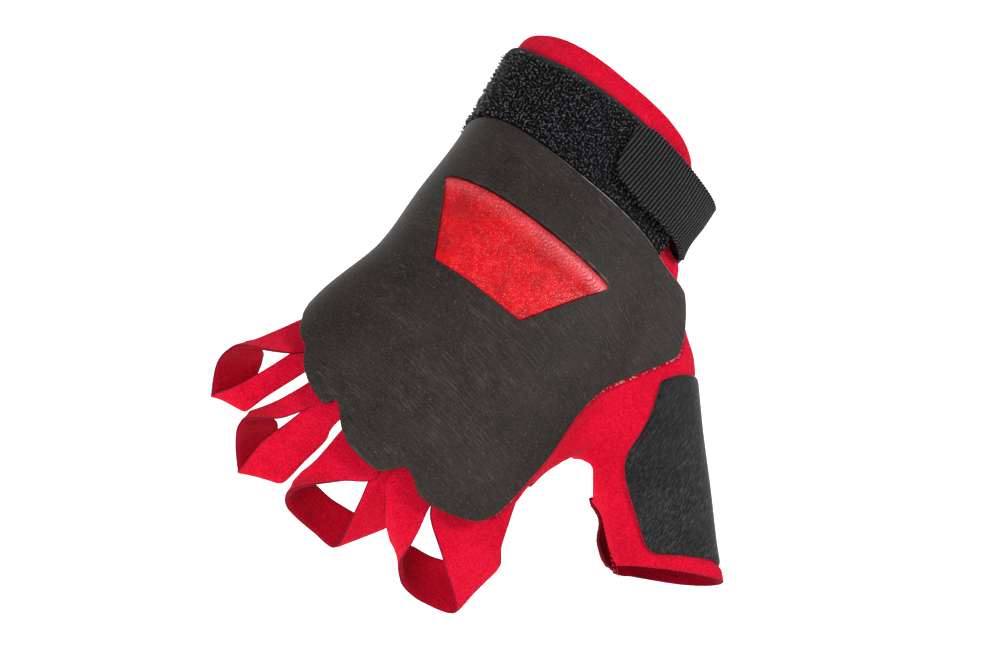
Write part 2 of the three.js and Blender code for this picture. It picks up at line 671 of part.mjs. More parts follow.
function ribbonSolid(wristEdge, tipEdge) {
  const rows = wristEdge.map((wrist, i) => {
    const tip = tipEdge[i];
    return [wrist, wrist.clone().lerp(tip, 0.5), tip];
  });
  const columns = rows[0].length;
  const normals = rows.map((row, i) => row.map((point, j) => {
    const along = rows[Math.min(i + 1, rows.length - 1)][j].clone().sub(rows[Math.max(i - 1, 0)][j]);
    const across = row[Math.min(j + 1, columns - 1)].clone().sub(row[Math.max(j - 1, 0)]);
    return along.cross(across).normalize();
  }));
  const points = [];
  for (const side of [0.5, -0.5]) {
    rows.forEach((row, i) => row.forEach((point, j) => {
      points.push(point.clone().addScaledVector(normals[i][j], side * LOOP_THICKNESS));
    }));
  }
  const half = rows.length * columns;
  const triangles = [];
  const quad = (a, b, c, d) => triangles.push(a, b, c, a, c, d);
  for (let i = 0; i < rows.length - 1; i += 1) {
    const here = i * columns;
    const next = here + columns;
    for (let j = 0; j < columns - 1; j += 1) {
      quad(here + j, next + j, next + j + 1, here + j + 1);
      quad(half + here + j, half + here + j + 1, half + next + j + 1, half + next + j);
    }
    const last = columns - 1;
    quad(here, half + here, half + next, next);
    quad(here + last, next + last, half + next + last, half + here + last);
  }
  const end = (rows.length - 1) * columns;
  for (let j = 0; j < columns - 1; j += 1) {
    quad(j, j + 1, half + j + 1, half + j);
    quad(end + j, half + end + j, half + end + j + 1, end + j + 1);
  }
  return solidFrom(points, triangles);
}

function fingerLoop(rows) {
  const edge = (name) => rows.map((row) => (row[`${name}Z`] === undefined
    ? underSuede(row[`${name}X`], row[`${name}Y`])
    : new THREE.Vector3(row[`${name}X`], row[`${name}Y`], row[`${name}Z`])));
  const sampled = (points) => {
    const curve = new THREE.CatmullRomCurve3(points, false, 'catmullrom', 0.5);
    return curve.getPoints((points.length - 1) * LOOP_STEPS);
  };
  const wristEdge = sampled(edge('wrist'));
  const tipEdge = sampled(edge('tip'));
  const middle = Math.floor(wristEdge.length / 2);
  const first = ribbonSolid(wristEdge.slice(0, middle + 1), tipEdge.slice(0, middle + 1));
  const second = ribbonSolid(wristEdge.slice(middle), tipEdge.slice(middle));
  return first.add(second).subtract(panelStack);
}

// Materials

const redSuede = () => new THREE.MeshStandardMaterial({ color: 0xc4142a, roughness: 0.95 });
const darkRubber = () => new THREE.MeshStandardMaterial({ color: 0x35322f, roughness: 0.7 });
const redLeather = () => new THREE.MeshStandardMaterial({ color: 0xd01a22, roughness: 0.35 });
const blackTape = () => new THREE.MeshStandardMaterial({ color: 0x14151c, roughness: 1 });
const blackWebbing = () => new THREE.MeshStandardMaterial({ color: 0x17181b, roughness: 0.8 });

function meshFrom(name, solid, material) {
  const { vertProperties, triVerts } = solid.getMesh();
  const geometry = new THREE.BufferGeometry();
  geometry.setAttribute('position', new THREE.BufferAttribute(new Float32Array(vertProperties), 3));
  geometry.setIndex(new THREE.BufferAttribute(new Uint32Array(triVerts), 1));
  geometry.computeVertexNormals();
  const mesh = new THREE.Mesh(geometry, material);
  mesh.name = name;
  return mesh;
}

const glove = new THREE.Group();
glove.add(meshFrom('glove_body', gloveBody(), redSuede()));
for (const [name, rows] of Object.entries(FINGER_LOOPS)) {
  glove.add(meshFrom(name, fingerLoop(rows), redSuede()));
}
glove.add(meshFrom('rubber_back_panel', rubberBackPanel(), darkRubber()));
glove.add(meshFrom('window_leather', windowLeather(), redLeather()));
glove.add(meshFrom('thumb_rubber_patch', thumbRubberPatch(), darkRubber()));
glove.add(meshFrom('wrist_loop_tape', wristLoopTape(), blackTape()));
glove.add(meshFrom('wrist_strap', wristStrap(), blackWebbing()));

export default glove;
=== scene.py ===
"""The look of a right-hand crack climbing glove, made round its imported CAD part.

Lengths in the tables and the mesh code are millimetres, as in the part's source; mesh_object() turns
them into metres. +Z is the back of the hand, the fingers point to -Y and the thumb to +X.

The flat pieces are cut from one fine mesh of the hand form. Each piece has a field that gives every
point's distance from the piece's edge, and the mesh is split along that field, so edges are smooth.
"""

import math

import bpy
import numpy as np
from mathutils import Matrix, Vector
from mathutils.bvhtree import BVHTree


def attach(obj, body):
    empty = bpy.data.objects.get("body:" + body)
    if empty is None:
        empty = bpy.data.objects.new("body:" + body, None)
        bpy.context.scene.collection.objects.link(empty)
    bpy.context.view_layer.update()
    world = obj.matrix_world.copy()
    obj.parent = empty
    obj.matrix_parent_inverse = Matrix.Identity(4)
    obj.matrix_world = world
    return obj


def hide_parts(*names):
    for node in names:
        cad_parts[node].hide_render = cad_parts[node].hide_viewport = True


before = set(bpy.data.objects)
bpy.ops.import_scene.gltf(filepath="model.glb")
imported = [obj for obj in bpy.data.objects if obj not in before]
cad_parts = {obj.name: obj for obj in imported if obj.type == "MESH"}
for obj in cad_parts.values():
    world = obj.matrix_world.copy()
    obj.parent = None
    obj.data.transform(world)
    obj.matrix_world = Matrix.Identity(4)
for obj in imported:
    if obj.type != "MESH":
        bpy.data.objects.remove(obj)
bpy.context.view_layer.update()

MM = 0.001
RANDOM = np.random.default_rng(7)

# Sizes shared with the part's source

SUEDE = 1.2
RUBBER_SEAT = 1.5
RUBBER = 2.0
PATCH = 1.5
LEATHER = 1.0
TAPE = 2.4
STRAP_SEAT_ON_TAPE = 4.2
STRAP = 1.8
LOOP = 1.3
LOOP_DEPTH = -0.95
SUEDE_INSET = 1.5

# Sizes of the scene alone

LEATHER_INSET = 0.45               # the leather's mesh starts this far inside the window
TAPE_WEB = 1.2                     # thickness of the woven base that the tape's pile stands on
SELVEDGE = 1.4                     # width of the tape's bare border
WRIST_AXIS_X, WRIST_RADIUS = -6.0, 38

# Tables of the form and the outlines

# Sections of the hand: y, centre x, centre z, half width, rise, drop, power
HAND_SECTIONS = np.array([
    [-125, 2, -5, 39, 15, 15, 2.4],
    [-95, 3.2, -2, 40.5, 17, 16, 2.4],
    [-75, 3.3, 0, 40.6, 19, 18, 2.4],
    [-50, 4.3, 1, 37.6, 21, 20, 2.4],
    [-25, 1, 1, 36, 22, 21, 2.4],
    [-5, 0, 0, 36, 22, 22, 2.5],
    [8, -3, 0, 34.5, 23, 23, 2.5],
    [20, -5.5, 0, 34, 24, 24, 2.5],
    [33, -8.5, 0, 33, 24, 25, 2.5],
    [45, -10.5, 0, 32, 24, 25, 2.5],
    [60, -11.5, 0, 31, 24, 25, 2.5],
])
THUMB_BASE = np.array([24.0, -4.0, -4.0])
THUMB_TIP = np.array([93.5, -67.6, -14.0])
THUMB_ROLL = math.radians(10)
THUMB_POWER = 2.2
# Share of the thumb's length, half width, half depth
THUMB_SECTIONS = np.array([
    [-0.3, 13, 12],
    [0, 16, 14],
    [0.25, 19, 14],
    [0.6, 16.7, 12.4],
    [1, 15.1, 9.8],
    [1.3, 14.9, 9.6],
])
WEB_BLEND_AT_WRIST, WEB_BLEND_AT_WEB, WEB_WRIST_Y, WEB_Y = 8, 24, -8, -45
KNUCKLE_END, FOREARM_END, THUMB_BASE_END, THUMB_TIP_END = -132, 50, -0.25, 1.22

# Outlines in plan. C marks a corner, where a smooth stretch ends. LOWEST is the height where a piece
# ends at the side of the hand.
C = True
RUBBER_EDGE = [
    (-62, 4, C), (-36, 2.5), (-14, 1), (14, 0.5), (34, 1), (44.8, 1.8, C),
    (51, -5), (55.5, -16), (55, -21), (49.5, -32.5), (44.5, -45), (43, -58), (44, -72), (43.5, -86),
    (42.5, -97),
    (39, -104.5), (31, -109.3), (22, -111.3), (16.5, -108.5), (13, -107.8), (10.5, -110.5), (7, -113.6),
    (-1, -113.6), (-8, -111), (-14, -105.3), (-16, -105, C), (-17.5, -107.7), (-24, -105.4),
    (-29.5, -101), (-33, -95), (-34, -94.8, C), (-37.2, -91.5), (-40, -85), (-43.5, -76),
    (-62, -66, C),
]
RUBBER_LOWEST = -4
WINDOW_CORNERS = [(-34.6, -22.3), (27.4, -21.2), (12, -52), (-20, -52)]
WINDOW_CORNER_RADIUS = 1.8
PATCH_EDGE = [
    (56.5, -28, C), (60.5, -21), (68, -11, C), (120, -44, C), (104.7, -56.8), (98.6, -62.1),
    (93, -66.3), (88.6, -69.5), (86.5, -70.4), (84.2, -70.4), (81.7, -69.3), (74, -64), (67.7, -59.6),
    (65, -57.2), (63, -54.8), (61.6, -50.8), (61.3, -45.3), (60, -37.8, C),
]
PATCH_LOWEST = -15
TAPE_EDGE = [
    (-62, 4.4, C), (-36, 2.9), (-14, 1.4), (14, 0.9), (33, 1.4, C), (33, 8, C), (25, 29, C),
    (0, 29.2), (-20, 28.8), (-33, 28.7), (-40, 29.9), (-47, 33.2, C), (-62, 33.2, C),
]
TAPE_LOWEST = -5
STRAP_Y = (4.5, 29.5)
STRAP_CORNER_EDGE = [(36, 2, C), (36, 4.5, C), (41, 7, C), (62, 24, C), (80, 24, C), (80, 2, C)]
STRAP_END_EDGE = [
    (60, 2, C), (60, 8.6, C), (39, 8.4), (31, 8), (24, 6.7), (16.5, 6.1), (8.5, 7, C), (7.2, 7.6, C),
    (4.2, 10.6, C), (4.1, 12, C), (2, 24.4, C), (2.6, 25.8, C), (7, 28.3, C), (16, 28.9), (28, 29.6),
    (37, 30.8, C), (60, 31.8, C), (60, 60, C), (-70, 60, C), (-70, 2, C),
]
STRAP_START_Z = -7
# The strap rises onto the tape between these two heights, and only on the thumb's side of from_x
STRAP_STEP = {"high": 12, "low": -8, "from_x": -20}
# The strap turns at the thumb side along a straight fold that leans outwards: degrees round the wrist
# from +X towards the back of the hand, how far it stands off at the cuff side, and at the hand side
STRAP_FLARE = np.array([
    [-90, 0, 0], [-45, 0, 0], [-25, 0.5, 0], [-10, 1.7, 0.3], [0, 3.6, 0.6], [7, 5.7, 1.2], [11, 6.9, 1.6],
    [14, 7.5, 1.9], [17, 6.8, 1.8], [21, 5.3, 1.4], [27, 3.2, 0.8], [34, 1.5, 0.4], [43, 0.4, 0.1],
    [54, 0, 0], [90, 0, 0],
])
STRAP_FLARE_Y = (6, 29.5)
# Past the fold the strap slips towards the cuff: how far, and between which degrees it does
STRAP_SLIP = 4
STRAP_SLIP_ANGLES = ((-55, -15), (4, 13))
CUFF_END_LITTLE_SIDE, CUFF_END_THUMB_SIDE = 40.5, 35.3
KNUCKLE_EDGE_X, KNUCKLE_EDGE_Y = 41, -80        # where the rubber's outline is also the suede's edge
REACH = 80                                      # past the glove on both sides
FAR = 50.0                                      # out of reach of the rubber's shade
PALM_CUT_EDGE = [
    (-70, 2, C), (38, 2, C), (47, -4), (52, -18), (48, -34), (42, -48), (44, -60), (50, -74, C),
    (50, -140, C), (-70, -140, C),
]
# The height up to which the palm is cut open: y, z
PALM_CUT_TOP = [(6, -6), (-50, -7), (-62, -9.5), (-76, -6), (-86, 0.5), (-95, 4), (-140, 8)]
# The edge of the web between thumb and fingers, in plan at one level. The cut is slanted: it moves
# in x and y by the slant for each millimetre up, which is along the line of sight of the photograph.
WEB_LEVEL = -7
WEB_SLANT = np.array([-0.03, -0.509])
WEB_EDGE = [
    (43.8, -91.1, C), (44.6, -85.7), (45, -82.5), (44.9, -80.2), (45.1, -76.7), (45.9, -72.3),
    (47, -68.4), (47.5, -65.8), (47.8, -62.9), (48.4, -61.1), (50.2, -59.7), (51.3, -58.5), (52.6, -57.7),
    (54.1, -57.4), (55.6, -57.2), (57, -57.6, C), (63.2, -66, C), (61.8, -66.8, C), (63.3, -67.8),
    (66.3, -68.9), (68.7, -70.6), (71.5, -74.1), (73.8, -76.8), (76, -78.9), (79, -81, C),
    (81.4, -81.2, C), (93.3, -98.5, C), (61.3, -125.8, C), (43.2, -100.8, C),
]
THUMB_OPENING_POINT = np.array([93.4, -71, -4])
THUMB_OPENING_NORMAL = np.array([0.515, -0.857, -0.175])
# The thumb's slit: along the thumb from its base, height towards the back of the thumb
THUMB_SLIT_EDGE = [
    (67.5, -1.6, C), (68.5, 0), (72, 2.6), (75, 4.2), (79.5, 4.4), (84.5, 4.2), (88.5, 4.8),
    (92, 5.6, C), (120, 8, C), (120, -2.6, C), (90, -2.4), (74, -2.6), (69, -2.6, C),
]
CUFF_SLIT_HALF_WIDTH = 3

# Finger loops, row by row: the edge towards the wrist (x, y, z), then the edge towards the fingertip.
# U stands for a height under the suede.
U = None
FINGER_LOOPS = {
    "little": [
        (-36, -80, U, -29, -87.5, U),
        (-39.75, -86.5, 2, -31, -94.5, U),
        (-43.25, -94.75, 2, -35.25, -99.75, 9),
        (-45.75, -99, 0, -41.75, -102.75, 7),
        (-47.25, -100.25, -3, -47.75, -105.25, 4),
        (-43, -96.5, -8, -50, -108.75, 0),
        (-41.5, -97.25, -12, -49.75, -111.25, -6),
        (-39.75, -101.25, -13, -46.25, -116.25, -11),
        (-35.25, -115.25, -8, -45.25, -117.25, -8),
        (-32, -111, 1, -39.75, -111.5, 1),
        (-26.5, -96.5, U, -32.5, -91, U),
        (-25, -88.5, U, -30, -85.5, U),
    ],
    "ring": [
        (-24, -95, U, -17, -99.5, U),
        (-24.5, -101.5, U, -18.5, -106.5, U),
        (-27.5, -111, 8, -23.25, -116.25, 10),
        (-31, -115.5, 2, -28, -120.25, 8),
        (-32.75, -117.5, -2, -32.25, -122.25, 4),
        (-26.5, -112, -7, -32.5, -124.75, 0),
        (-23.5, -113, -12, -29.5, -127, -7),
        (-20.25, -117, -13, -26, -129.25, -12),
        (-13.25, -125.5, -9, -25, -130.5, -9),
        (-11.25, -119, 1, -24.5, -123.25, 1),
        (-10.25, -113, 6, -22.25, -116.75, 7),
        (-11, -110, 9, -21, -111, U),
        (-10.5, -105.5, U, -20, -105.5, U),
        (-9.5, -98, U, -19, -97.5, U),
    ],
    "middle": [
        (-8, -99, U, 5, -104.5, U),
        (-8.5, -108.5, U, 8, -114.5, U),
        (-8.75, -119.75, 8, 1.25, -120.75, 9.5),
        (-10, -123.5, 1, -4.5, -126.5, 8),
        (-9.75, -124, -7, -9, -130.5, 2),
        (-6.25, -118.25, -12, -6.75, -131.25, -7),
        (3, -117.75, -13, 3.25, -129.75, -13),
        (18.75, -116.5, -7, 11, -129.75, -11),
        (14.5, -114.75, 3, 9.5, -123, 1),
        (11.25, -110.25, 8.5, 6.5, -114, 9.5),
        (10, -102.5, U, 4, -104.5, U),
    ],
    "index": [
        (11.5, -99, U, 25, -100.5, U),
        (10.5, -111.5, U, 25.5, -110, U),
        (14.75, -116.75, 7.5, 27.25, -117.25, 9),
        (19.25, -119.5, 1, 28.25, -122.75, 6),
        (23.75, -119.25, -6, 29, -125.25, 0),
        (28.5, -114, -12, 33.25, -127, -8),
        (36.75, -111.5, -13, 41.75, -125.25, -13),
        (51.75, -105.75, -6, 50.5, -122.2, -10),
        (49, -101.5, 1.5, 38.25, -117.25, 2),
        (45.75, -91.75, 1.5, 26.5, -111, U),
        (43, -83, U, 24.5, -100.5, U),
    ],
}

# The hand form, as in the part's source


def table_value(table, column, key):
    """One column of a table at these keys, on a smooth curve through its rows."""
    keys, values = table[:, 0], table[:, column]
    last = len(keys) - 1
    at = np.clip(key, keys[0], keys[-1])
    row = np.clip(np.searchsorted(keys, at, side="left") - 1, 0, last - 1)
    before = np.maximum(np.arange(last + 1) - 1, 0)
    after = np.minimum(np.arange(last + 1) + 1, last)
    slopes = (values[after] - values[before]) / (keys[after] - keys[before])
    span = keys[row + 1] - keys[row]
    t = (at - keys[row]) / span
    t2, t3 = t * t, t * t * t
    return (
        (2 * t3 - 3 * t2 + 1) * values[row]
        + (t3 - 2 * t2 + t) * span * slopes[row]
        + (3 * t2 - 2 * t3) * values[row + 1]
        + (t3 - t2) * span * slopes[row + 1]
    )


def smoothstep(x, low, high):
    t = np.clip((x - low) / (high - low), 0, 1)
    return t * t * (3 - 2 * t)


def superellipse_distance(u, v, half_u, half_v, power):
    a = np.maximum(np.abs(u) / half_u, 1e-6)
    b = np.maximum(np.abs(v) / half_v, 1e-6)
    size = (a**power + b**power) ** (1 / power)
    slope = size ** (1 - power) * np.hypot(a ** (power - 1) / half_u, b ** (power - 1) / half_v)
    return (size - 1) / slope


def hand_distance(p):
    y = p[..., 1]
    centre_x, centre_z, half_width, rise, drop, power = (
        table_value(HAND_SECTIONS, column, y) for column in range(1, 7)
    )
    up = p[..., 2] - centre_z
    half_height = np.where(up >= 0, rise, drop)
    body = superellipse_distance(p[..., 0] - centre_x, up, half_width, half_height, power)
    return np.maximum(body, np.maximum(KNUCKLE_END - y, y - FOREARM_END))


def turned(vector, axis, angle):
    return np.array(Matrix.Rotation(angle, 3, Vector(axis)) @ Vector(vector))


THUMB_LENGTH = np.linalg.norm(THUMB_TIP - THUMB_BASE)
THUMB_AXIS = (THUMB_TIP - THUMB_BASE) / THUMB_LENGTH
level_side = np.cross(THUMB_AXIS, [0, 0, 1])
level_side /= np.linalg.norm(level_side)
THUMB_BACK = turned(np.cross(level_side, THUMB_AXIS), THUMB_AXIS, THUMB_ROLL)
THUMB_SIDE = turned(level_side, THUMB_AXIS, THUMB_ROLL)


def thumb_distance(p):
    from_base = p - THUMB_BASE
    along = from_base @ THUMB_AXIS / THUMB_LENGTH
    side = superellipse_distance(
        from_base @ THUMB_SIDE,
        from_base @ THUMB_BACK,
        table_value(THUMB_SECTIONS, 1, along),
        table_value(THUMB_SECTIONS, 2, along),
        THUMB_POWER,
    )
    ends = np.maximum(THUMB_BASE_END - along, along - THUMB_TIP_END) * THUMB_LENGTH
    return np.maximum(side, ends)


def form_distance(p):
    a, b = hand_distance(p), thumb_distance(p)
    towards_web = smoothstep(-p[..., 1], -WEB_WRIST_Y, -WEB_Y)
    blend = WEB_BLEND_AT_WRIST + (WEB_BLEND_AT_WEB - WEB_BLEND_AT_WRIST) * towards_web
    h = np.maximum(blend - np.abs(a - b), 0) / blend
    return np.minimum(a, b) - h * h * blend / 4


def form_gradient(p, step=0.05):
    moves = np.eye(3) * step
    return np.stack(
        [(form_distance(p + move) - form_distance(p - move)) / (2 * step) for move in moves], -1
    )


def unit(v):
    return v / np.maximum(np.linalg.norm(v, axis=-1, keepdims=True), 1e-9)


def on_skin(p, passes=5):
    """Moves points onto the skin of the form."""
    p = p.copy()
    for _ in range(passes):
        gradient = form_gradient(p)
        size = np.maximum((gradient**2).sum(-1), 0.05)
        p -= gradient * (form_distance(p) / size)[..., None]
    return p


def in_triangles(quads):
    return np.concatenate([quads[:, [0, 1, 2]], quads[:, [0, 2, 3]]])


def skin_mesh(low, high, cell):
    """Points and triangles of the form's skin: one point for each cell that it crosses."""
    counts = np.ceil((high - low) / cell).astype(int) + 1
    axes = [low[i] + cell * np.arange(counts[i]) for i in range(3)]
    grid = np.stack(np.meshgrid(*axes, indexing="ij"), -1)
    values = form_distance(grid).astype(np.float32)
    inside = values < 0
    shape = tuple(counts - 1)
    total = np.zeros(shape + (3,))
    crossings = np.zeros(shape)
    corner_offsets = [(i, j, k) for i in (0, 1) for j in (0, 1) for k in (0, 1)]

    def part(array, offset):
        return array[tuple(slice(o, o + n) for o, n in zip(offset, shape))]

    for a in corner_offsets:
        for axis in range(3):
            if a[axis]:
                continue
            b = tuple(v + (n == axis) for n, v in enumerate(a))
            crossed = part(inside, a) != part(inside, b)
            va, vb = part(values, a)[crossed], part(values, b)[crossed]
            t = (va / (va - vb))[:, None]
            total[crossed] += part(grid, a)[crossed] * (1 - t) + part(grid, b)[crossed] * t
            crossings[crossed] += 1
    cells = crossings > 0
    number = np.full(shape, -1)
    number[cells] = np.arange(cells.sum())
    points = on_skin(total[cells] / crossings[cells][:, None])
    quads = []
    for axis in range(3):
        q, r = (axis + 1) % 3, (axis + 2) % 3
        ahead = tuple(slice(1, None) if n == axis else slice(None) for n in range(3))
        here = tuple(slice(None, -1) if n == axis else slice(None) for n in range(3))
        i, j, k = np.nonzero(inside[here] != inside[ahead])
        at = np.stack([i, j, k], -1)
        keep = (at[:, q] > 0) & (at[:, r] > 0) & (at[:, q] < shape[q]) & (at[:, r] < shape[r])
        at = at[keep]
        corners = []
        for a, b in ((0, 0), (1, 0), (1, 1), (0, 1)):
            c = at.copy()
            c[:, q] -= a
            c[:, r] -= b
            corners.append(number[c[:, 0], c[:, 1], c[:, 2]])
        ring = np.stack(corners, -1)
        goes_in = ~inside[at[:, 0], at[:, 1], at[:, 2]]
        ring[goes_in] = ring[goes_in][:, ::-1]
        quads.append(ring)
    return points, in_triangles(np.concatenate(quads))


# Curves, outlines and distances from them


def smooth_through(points, steps, extend=False):
    """A Catmull-Rom curve through points. Its ends run straight on if extend is set."""
    p = np.asarray(points, float)
    first = 2 * p[0] - p[1] if extend else p[0]
    last = 2 * p[-1] - p[-2] if extend else p[-1]
    p = np.vstack([first, p, last])
    t = (np.arange(steps) / steps)[None, :, None]
    p0, p1, p2, p3 = (p[i : len(p) - 3 + i][:, None] for i in range(4))
    v0, v1 = (p2 - p0) / 2, (p3 - p1) / 2
    curve = (2 * p1 - 2 * p2 + v0 + v1) * t**3 + (3 * p2 - 3 * p1 - 2 * v0 - v1) * t**2 + v0 * t + p1
    return np.vstack([curve.reshape(-1, p.shape[1]), p[-2]])


def outline(edge, steps=10):
    """The closed outline through an edge table, smooth between its corners."""
    first = next(i for i, point in enumerate(edge) if len(point) > 2)
    ring = list(edge[first:]) + list(edge[:first])
    points, run = [], [ring[0]]
    for point in ring[1:] + [ring[0]]:
        run.append(point)
        if len(point) > 2:
            line = np.array([p[:2] for p in run], float)
            points.extend(line[:1] if len(run) == 2 else smooth_through(line, steps)[:-1])
            run = [point]
    return np.array(points)


def inset(points, amount):
    """A closed outline moved inwards by amount."""
    a = unit(points - np.roll(points, 1, 0))
    b = unit(np.roll(points, -1, 0) - points)
    normal = unit(np.stack([-(a[:, 1] + b[:, 1]), a[:, 0] + b[:, 0]], -1)) * turn_of(points)
    spread = np.maximum((normal * np.stack([-a[:, 1], a[:, 0]], -1)).sum(-1) * turn_of(points), 0.6)
    return points + normal * (amount / spread)[:, None]


def turn_of(points):
    """1 for an outline that turns left, else -1."""
    x, y = points.T
    return 1 if (x * np.roll(y, -1) - np.roll(x, -1) * y).sum() > 0 else -1


def rounded_polygon(corners, radius, steps=8):
    points = []
    for i, corner in enumerate(corners):
        here = np.array(corner, float)
        before = unit(np.array(corners[i - 1], float) - here)
        after = unit(np.array(corners[(i + 1) % len(corners)], float) - here)
        back = radius / math.tan(math.acos(before @ after) / 2)
        a, c = here + before * back, here + after * back
        for t in np.linspace(0, 1, steps + 1):
            points.append((1 - t) ** 2 * a + 2 * t * (1 - t) * here + t * t * c)
    return np.array(points)


POINTS_AT_ONCE = 8192


def plan_distance(p, polygon):
    """Distance inside an upright outline (less than zero outside), and its gradient in space."""
    xy = p[:, :2]
    a = polygon
    d = np.roll(polygon, -1, 0) - a
    length2 = np.maximum((d**2).sum(-1), 1e-12)
    best = np.full(len(xy), np.inf)
    nearest = np.zeros_like(xy)
    inside = np.zeros(len(xy), bool)
    for start in range(0, len(xy), POINTS_AT_ONCE):
        part = slice(start, start + POINTS_AT_ONCE)
        q = xy[part][:, None]
        t = np.clip(((q - a) * d).sum(-1) / length2, 0, 1)
        foot = a + t[..., None] * d
        gap = ((q - foot) ** 2).sum(-1)
        pick = gap.argmin(1)
        rows = np.arange(len(pick))
        best[part] = gap[rows, pick]
        nearest[part] = foot[rows, pick]
        y = q[..., 1]
        crosses = (a[:, 1] > y) != (a[:, 1] + d[:, 1] > y)
        rise = np.where(d[:, 1] == 0, 1, d[:, 1])
        x_at = a[:, 0] + (y - a[:, 1]) / rise * d[:, 0]
        inside[part] = ((crosses & (q[..., 0] < x_at)).sum(1) % 2).astype(bool)
    sign = np.where(inside, 1.0, -1.0)
    gradient = np.zeros((len(p), 3))
    gradient[:, :2] = unit(xy - nearest) * sign[:, None]
    return sign * np.sqrt(best), gradient


def plane_distance(p, point, normal):
    """Distance on the side that the normal points to."""
    normal = unit(np.array(normal, float))
    return (p - np.array(point, float)) @ normal, np.tile(normal, (len(p), 1))


def without(field):
    return -field[0], -field[1]


def both(*fields):
    """Distance inside all of these."""
    values = np.stack([f[0] for f in fields])
    gradients = np.stack([f[1] for f in fields])
    pick = values.argmin(0)
    rows = np.arange(values.shape[1])
    return values[pick, rows], gradients[pick, rows]


def along_surface(field, normals):
    """A field's distance measured along the skin, good near its edge."""
    values, gradient = field
    lean = (gradient * normals).sum(-1)
    return values / np.sqrt(np.maximum(1 - lean**2, 0.03))


# Smooth noise


def lattice_value(i, seed):
    i = i.astype(np.int64)
    h = (i[..., 0] * 73856093) ^ (i[..., 1] * 19349663) ^ (i[..., 2] * 83492791) ^ (seed * 2654435761)
    h = (h ^ (h >> 13)) * 1274126177 & 0xFFFFFFFF
    h = (h ^ (h >> 16)) & 0xFFFF
    return h / 32767.5 - 1


def noise(p, size, seed):
    """Values from about -1 to 1 that vary over lengths of size."""
    q = p / size
    i = np.floor(q)
    f = q - i
    u = f * f * f * (f * (f * 6 - 15) + 10)
    value = 0
    for offset in np.ndindex(2, 2, 2):
        weight = np.prod(np.where(offset, u, 1 - u), -1)
        value = value + weight * lattice_value(i + offset, seed)
    return value


# Meshes


def split_at(data, triangles, column, level, keep_below=True):
    """Splits triangles along data[:, column] == level. Can drop what is below."""
    values = data[:, column] - level
    values = np.where(np.abs(values) < 1e-5, 1e-5, values)
    above = values > 0
    state = above[triangles].sum(1)
    whole = triangles[(state == 3) | ((state == 0) & keep_below)]
    mixed = triangles[(state == 1) | (state == 2)]
    if len(mixed) == 0:
        return data, whole
    lone_above = above[mixed].sum(1) == 1
    lone = np.argmax(above[mixed] == lone_above[:, None], 1)
    rows = np.arange(len(mixed))
    a, b, c = (mixed[rows, (lone + n) % 3] for n in range(3))
    edges = np.concatenate([np.stack([a, b], -1), np.stack([a, c], -1)])
    edges.sort(1)
    unique, index = np.unique(edges, axis=0, return_inverse=True)
    index = index.reshape(-1)
    v0, v1 = values[unique[:, 0]], values[unique[:, 1]]
    t = (v0 / (v0 - v1))[:, None]
    new = data[unique[:, 0]] * (1 - t) + data[unique[:, 1]] * t
    new[:, column] = level
    p, q = len(data) + index[: len(mixed)], len(data) + index[len(mixed) :]
    tip = np.stack([a, p, q], -1)
    rest = np.concatenate([np.stack([p, b, c], -1), np.stack([p, c, q], -1)])
    keep_tip = lone_above | keep_below
    keep_rest = np.concatenate([~lone_above | keep_below] * 2)
    return np.vstack([data, new]), np.concatenate([whole, tip[keep_tip], rest[keep_rest]])


def only_used(data, triangles):
    used, index = np.unique(triangles, return_inverse=True)
    return data[used], index.reshape(-1, 3)


def merged_close(data, triangles, distance):
    """Joins points that fall in the same small cell, which clears slivers left by splits."""
    key = np.round(data[:, :3] / distance).astype(np.int64)
    _, first, index = np.unique(key, axis=0, return_index=True, return_inverse=True)
    index = index.reshape(-1)
    triangles = index[triangles]
    real = (
        (triangles[:, 0] != triangles[:, 1])
        & (triangles[:, 1] != triangles[:, 2])
        & (triangles[:, 2] != triangles[:, 0])
    )
    return only_used(data[first], triangles[real])


def edges_of(triangles):
    return np.concatenate([triangles[:, [0, 1]], triangles[:, [1, 2]], triangles[:, [2, 0]]])


def halved(data, triangles):
    """Splits each triangle in four."""
    unique, index = np.unique(np.sort(edges_of(triangles), 1), axis=0, return_inverse=True)
    index = index.reshape(-1)
    new = (data[unique[:, 0]] + data[unique[:, 1]]) / 2
    n = len(triangles)
    ab, bc, ca = (len(data) + index[i * n : (i + 1) * n] for i in range(3))
    a, b, c = triangles.T
    parts = [(a, ab, ca), (ab, b, bc), (ca, bc, c), (ab, bc, ca)]
    return np.vstack([data, new]), np.concatenate([np.stack(part, -1) for part in parts])


def boundary_edges(triangles):
    edges = edges_of(triangles)
    key = np.sort(edges, 1)
    _, index, count = np.unique(key, axis=0, return_inverse=True, return_counts=True)
    return edges[count[index.reshape(-1)] == 1]


def grid_quads(rows, columns, closed=False):
    """The faces of a grid of points. Its rows are rings if closed is set."""
    steps = columns if closed else columns - 1
    i, j = np.meshgrid(np.arange(rows - 1), np.arange(steps), indexing="ij")
    a = (i * columns + j).ravel()
    b = (i * columns + (j + 1) % columns).ravel()
    return np.stack([a, a + columns, b + columns, b], -1)


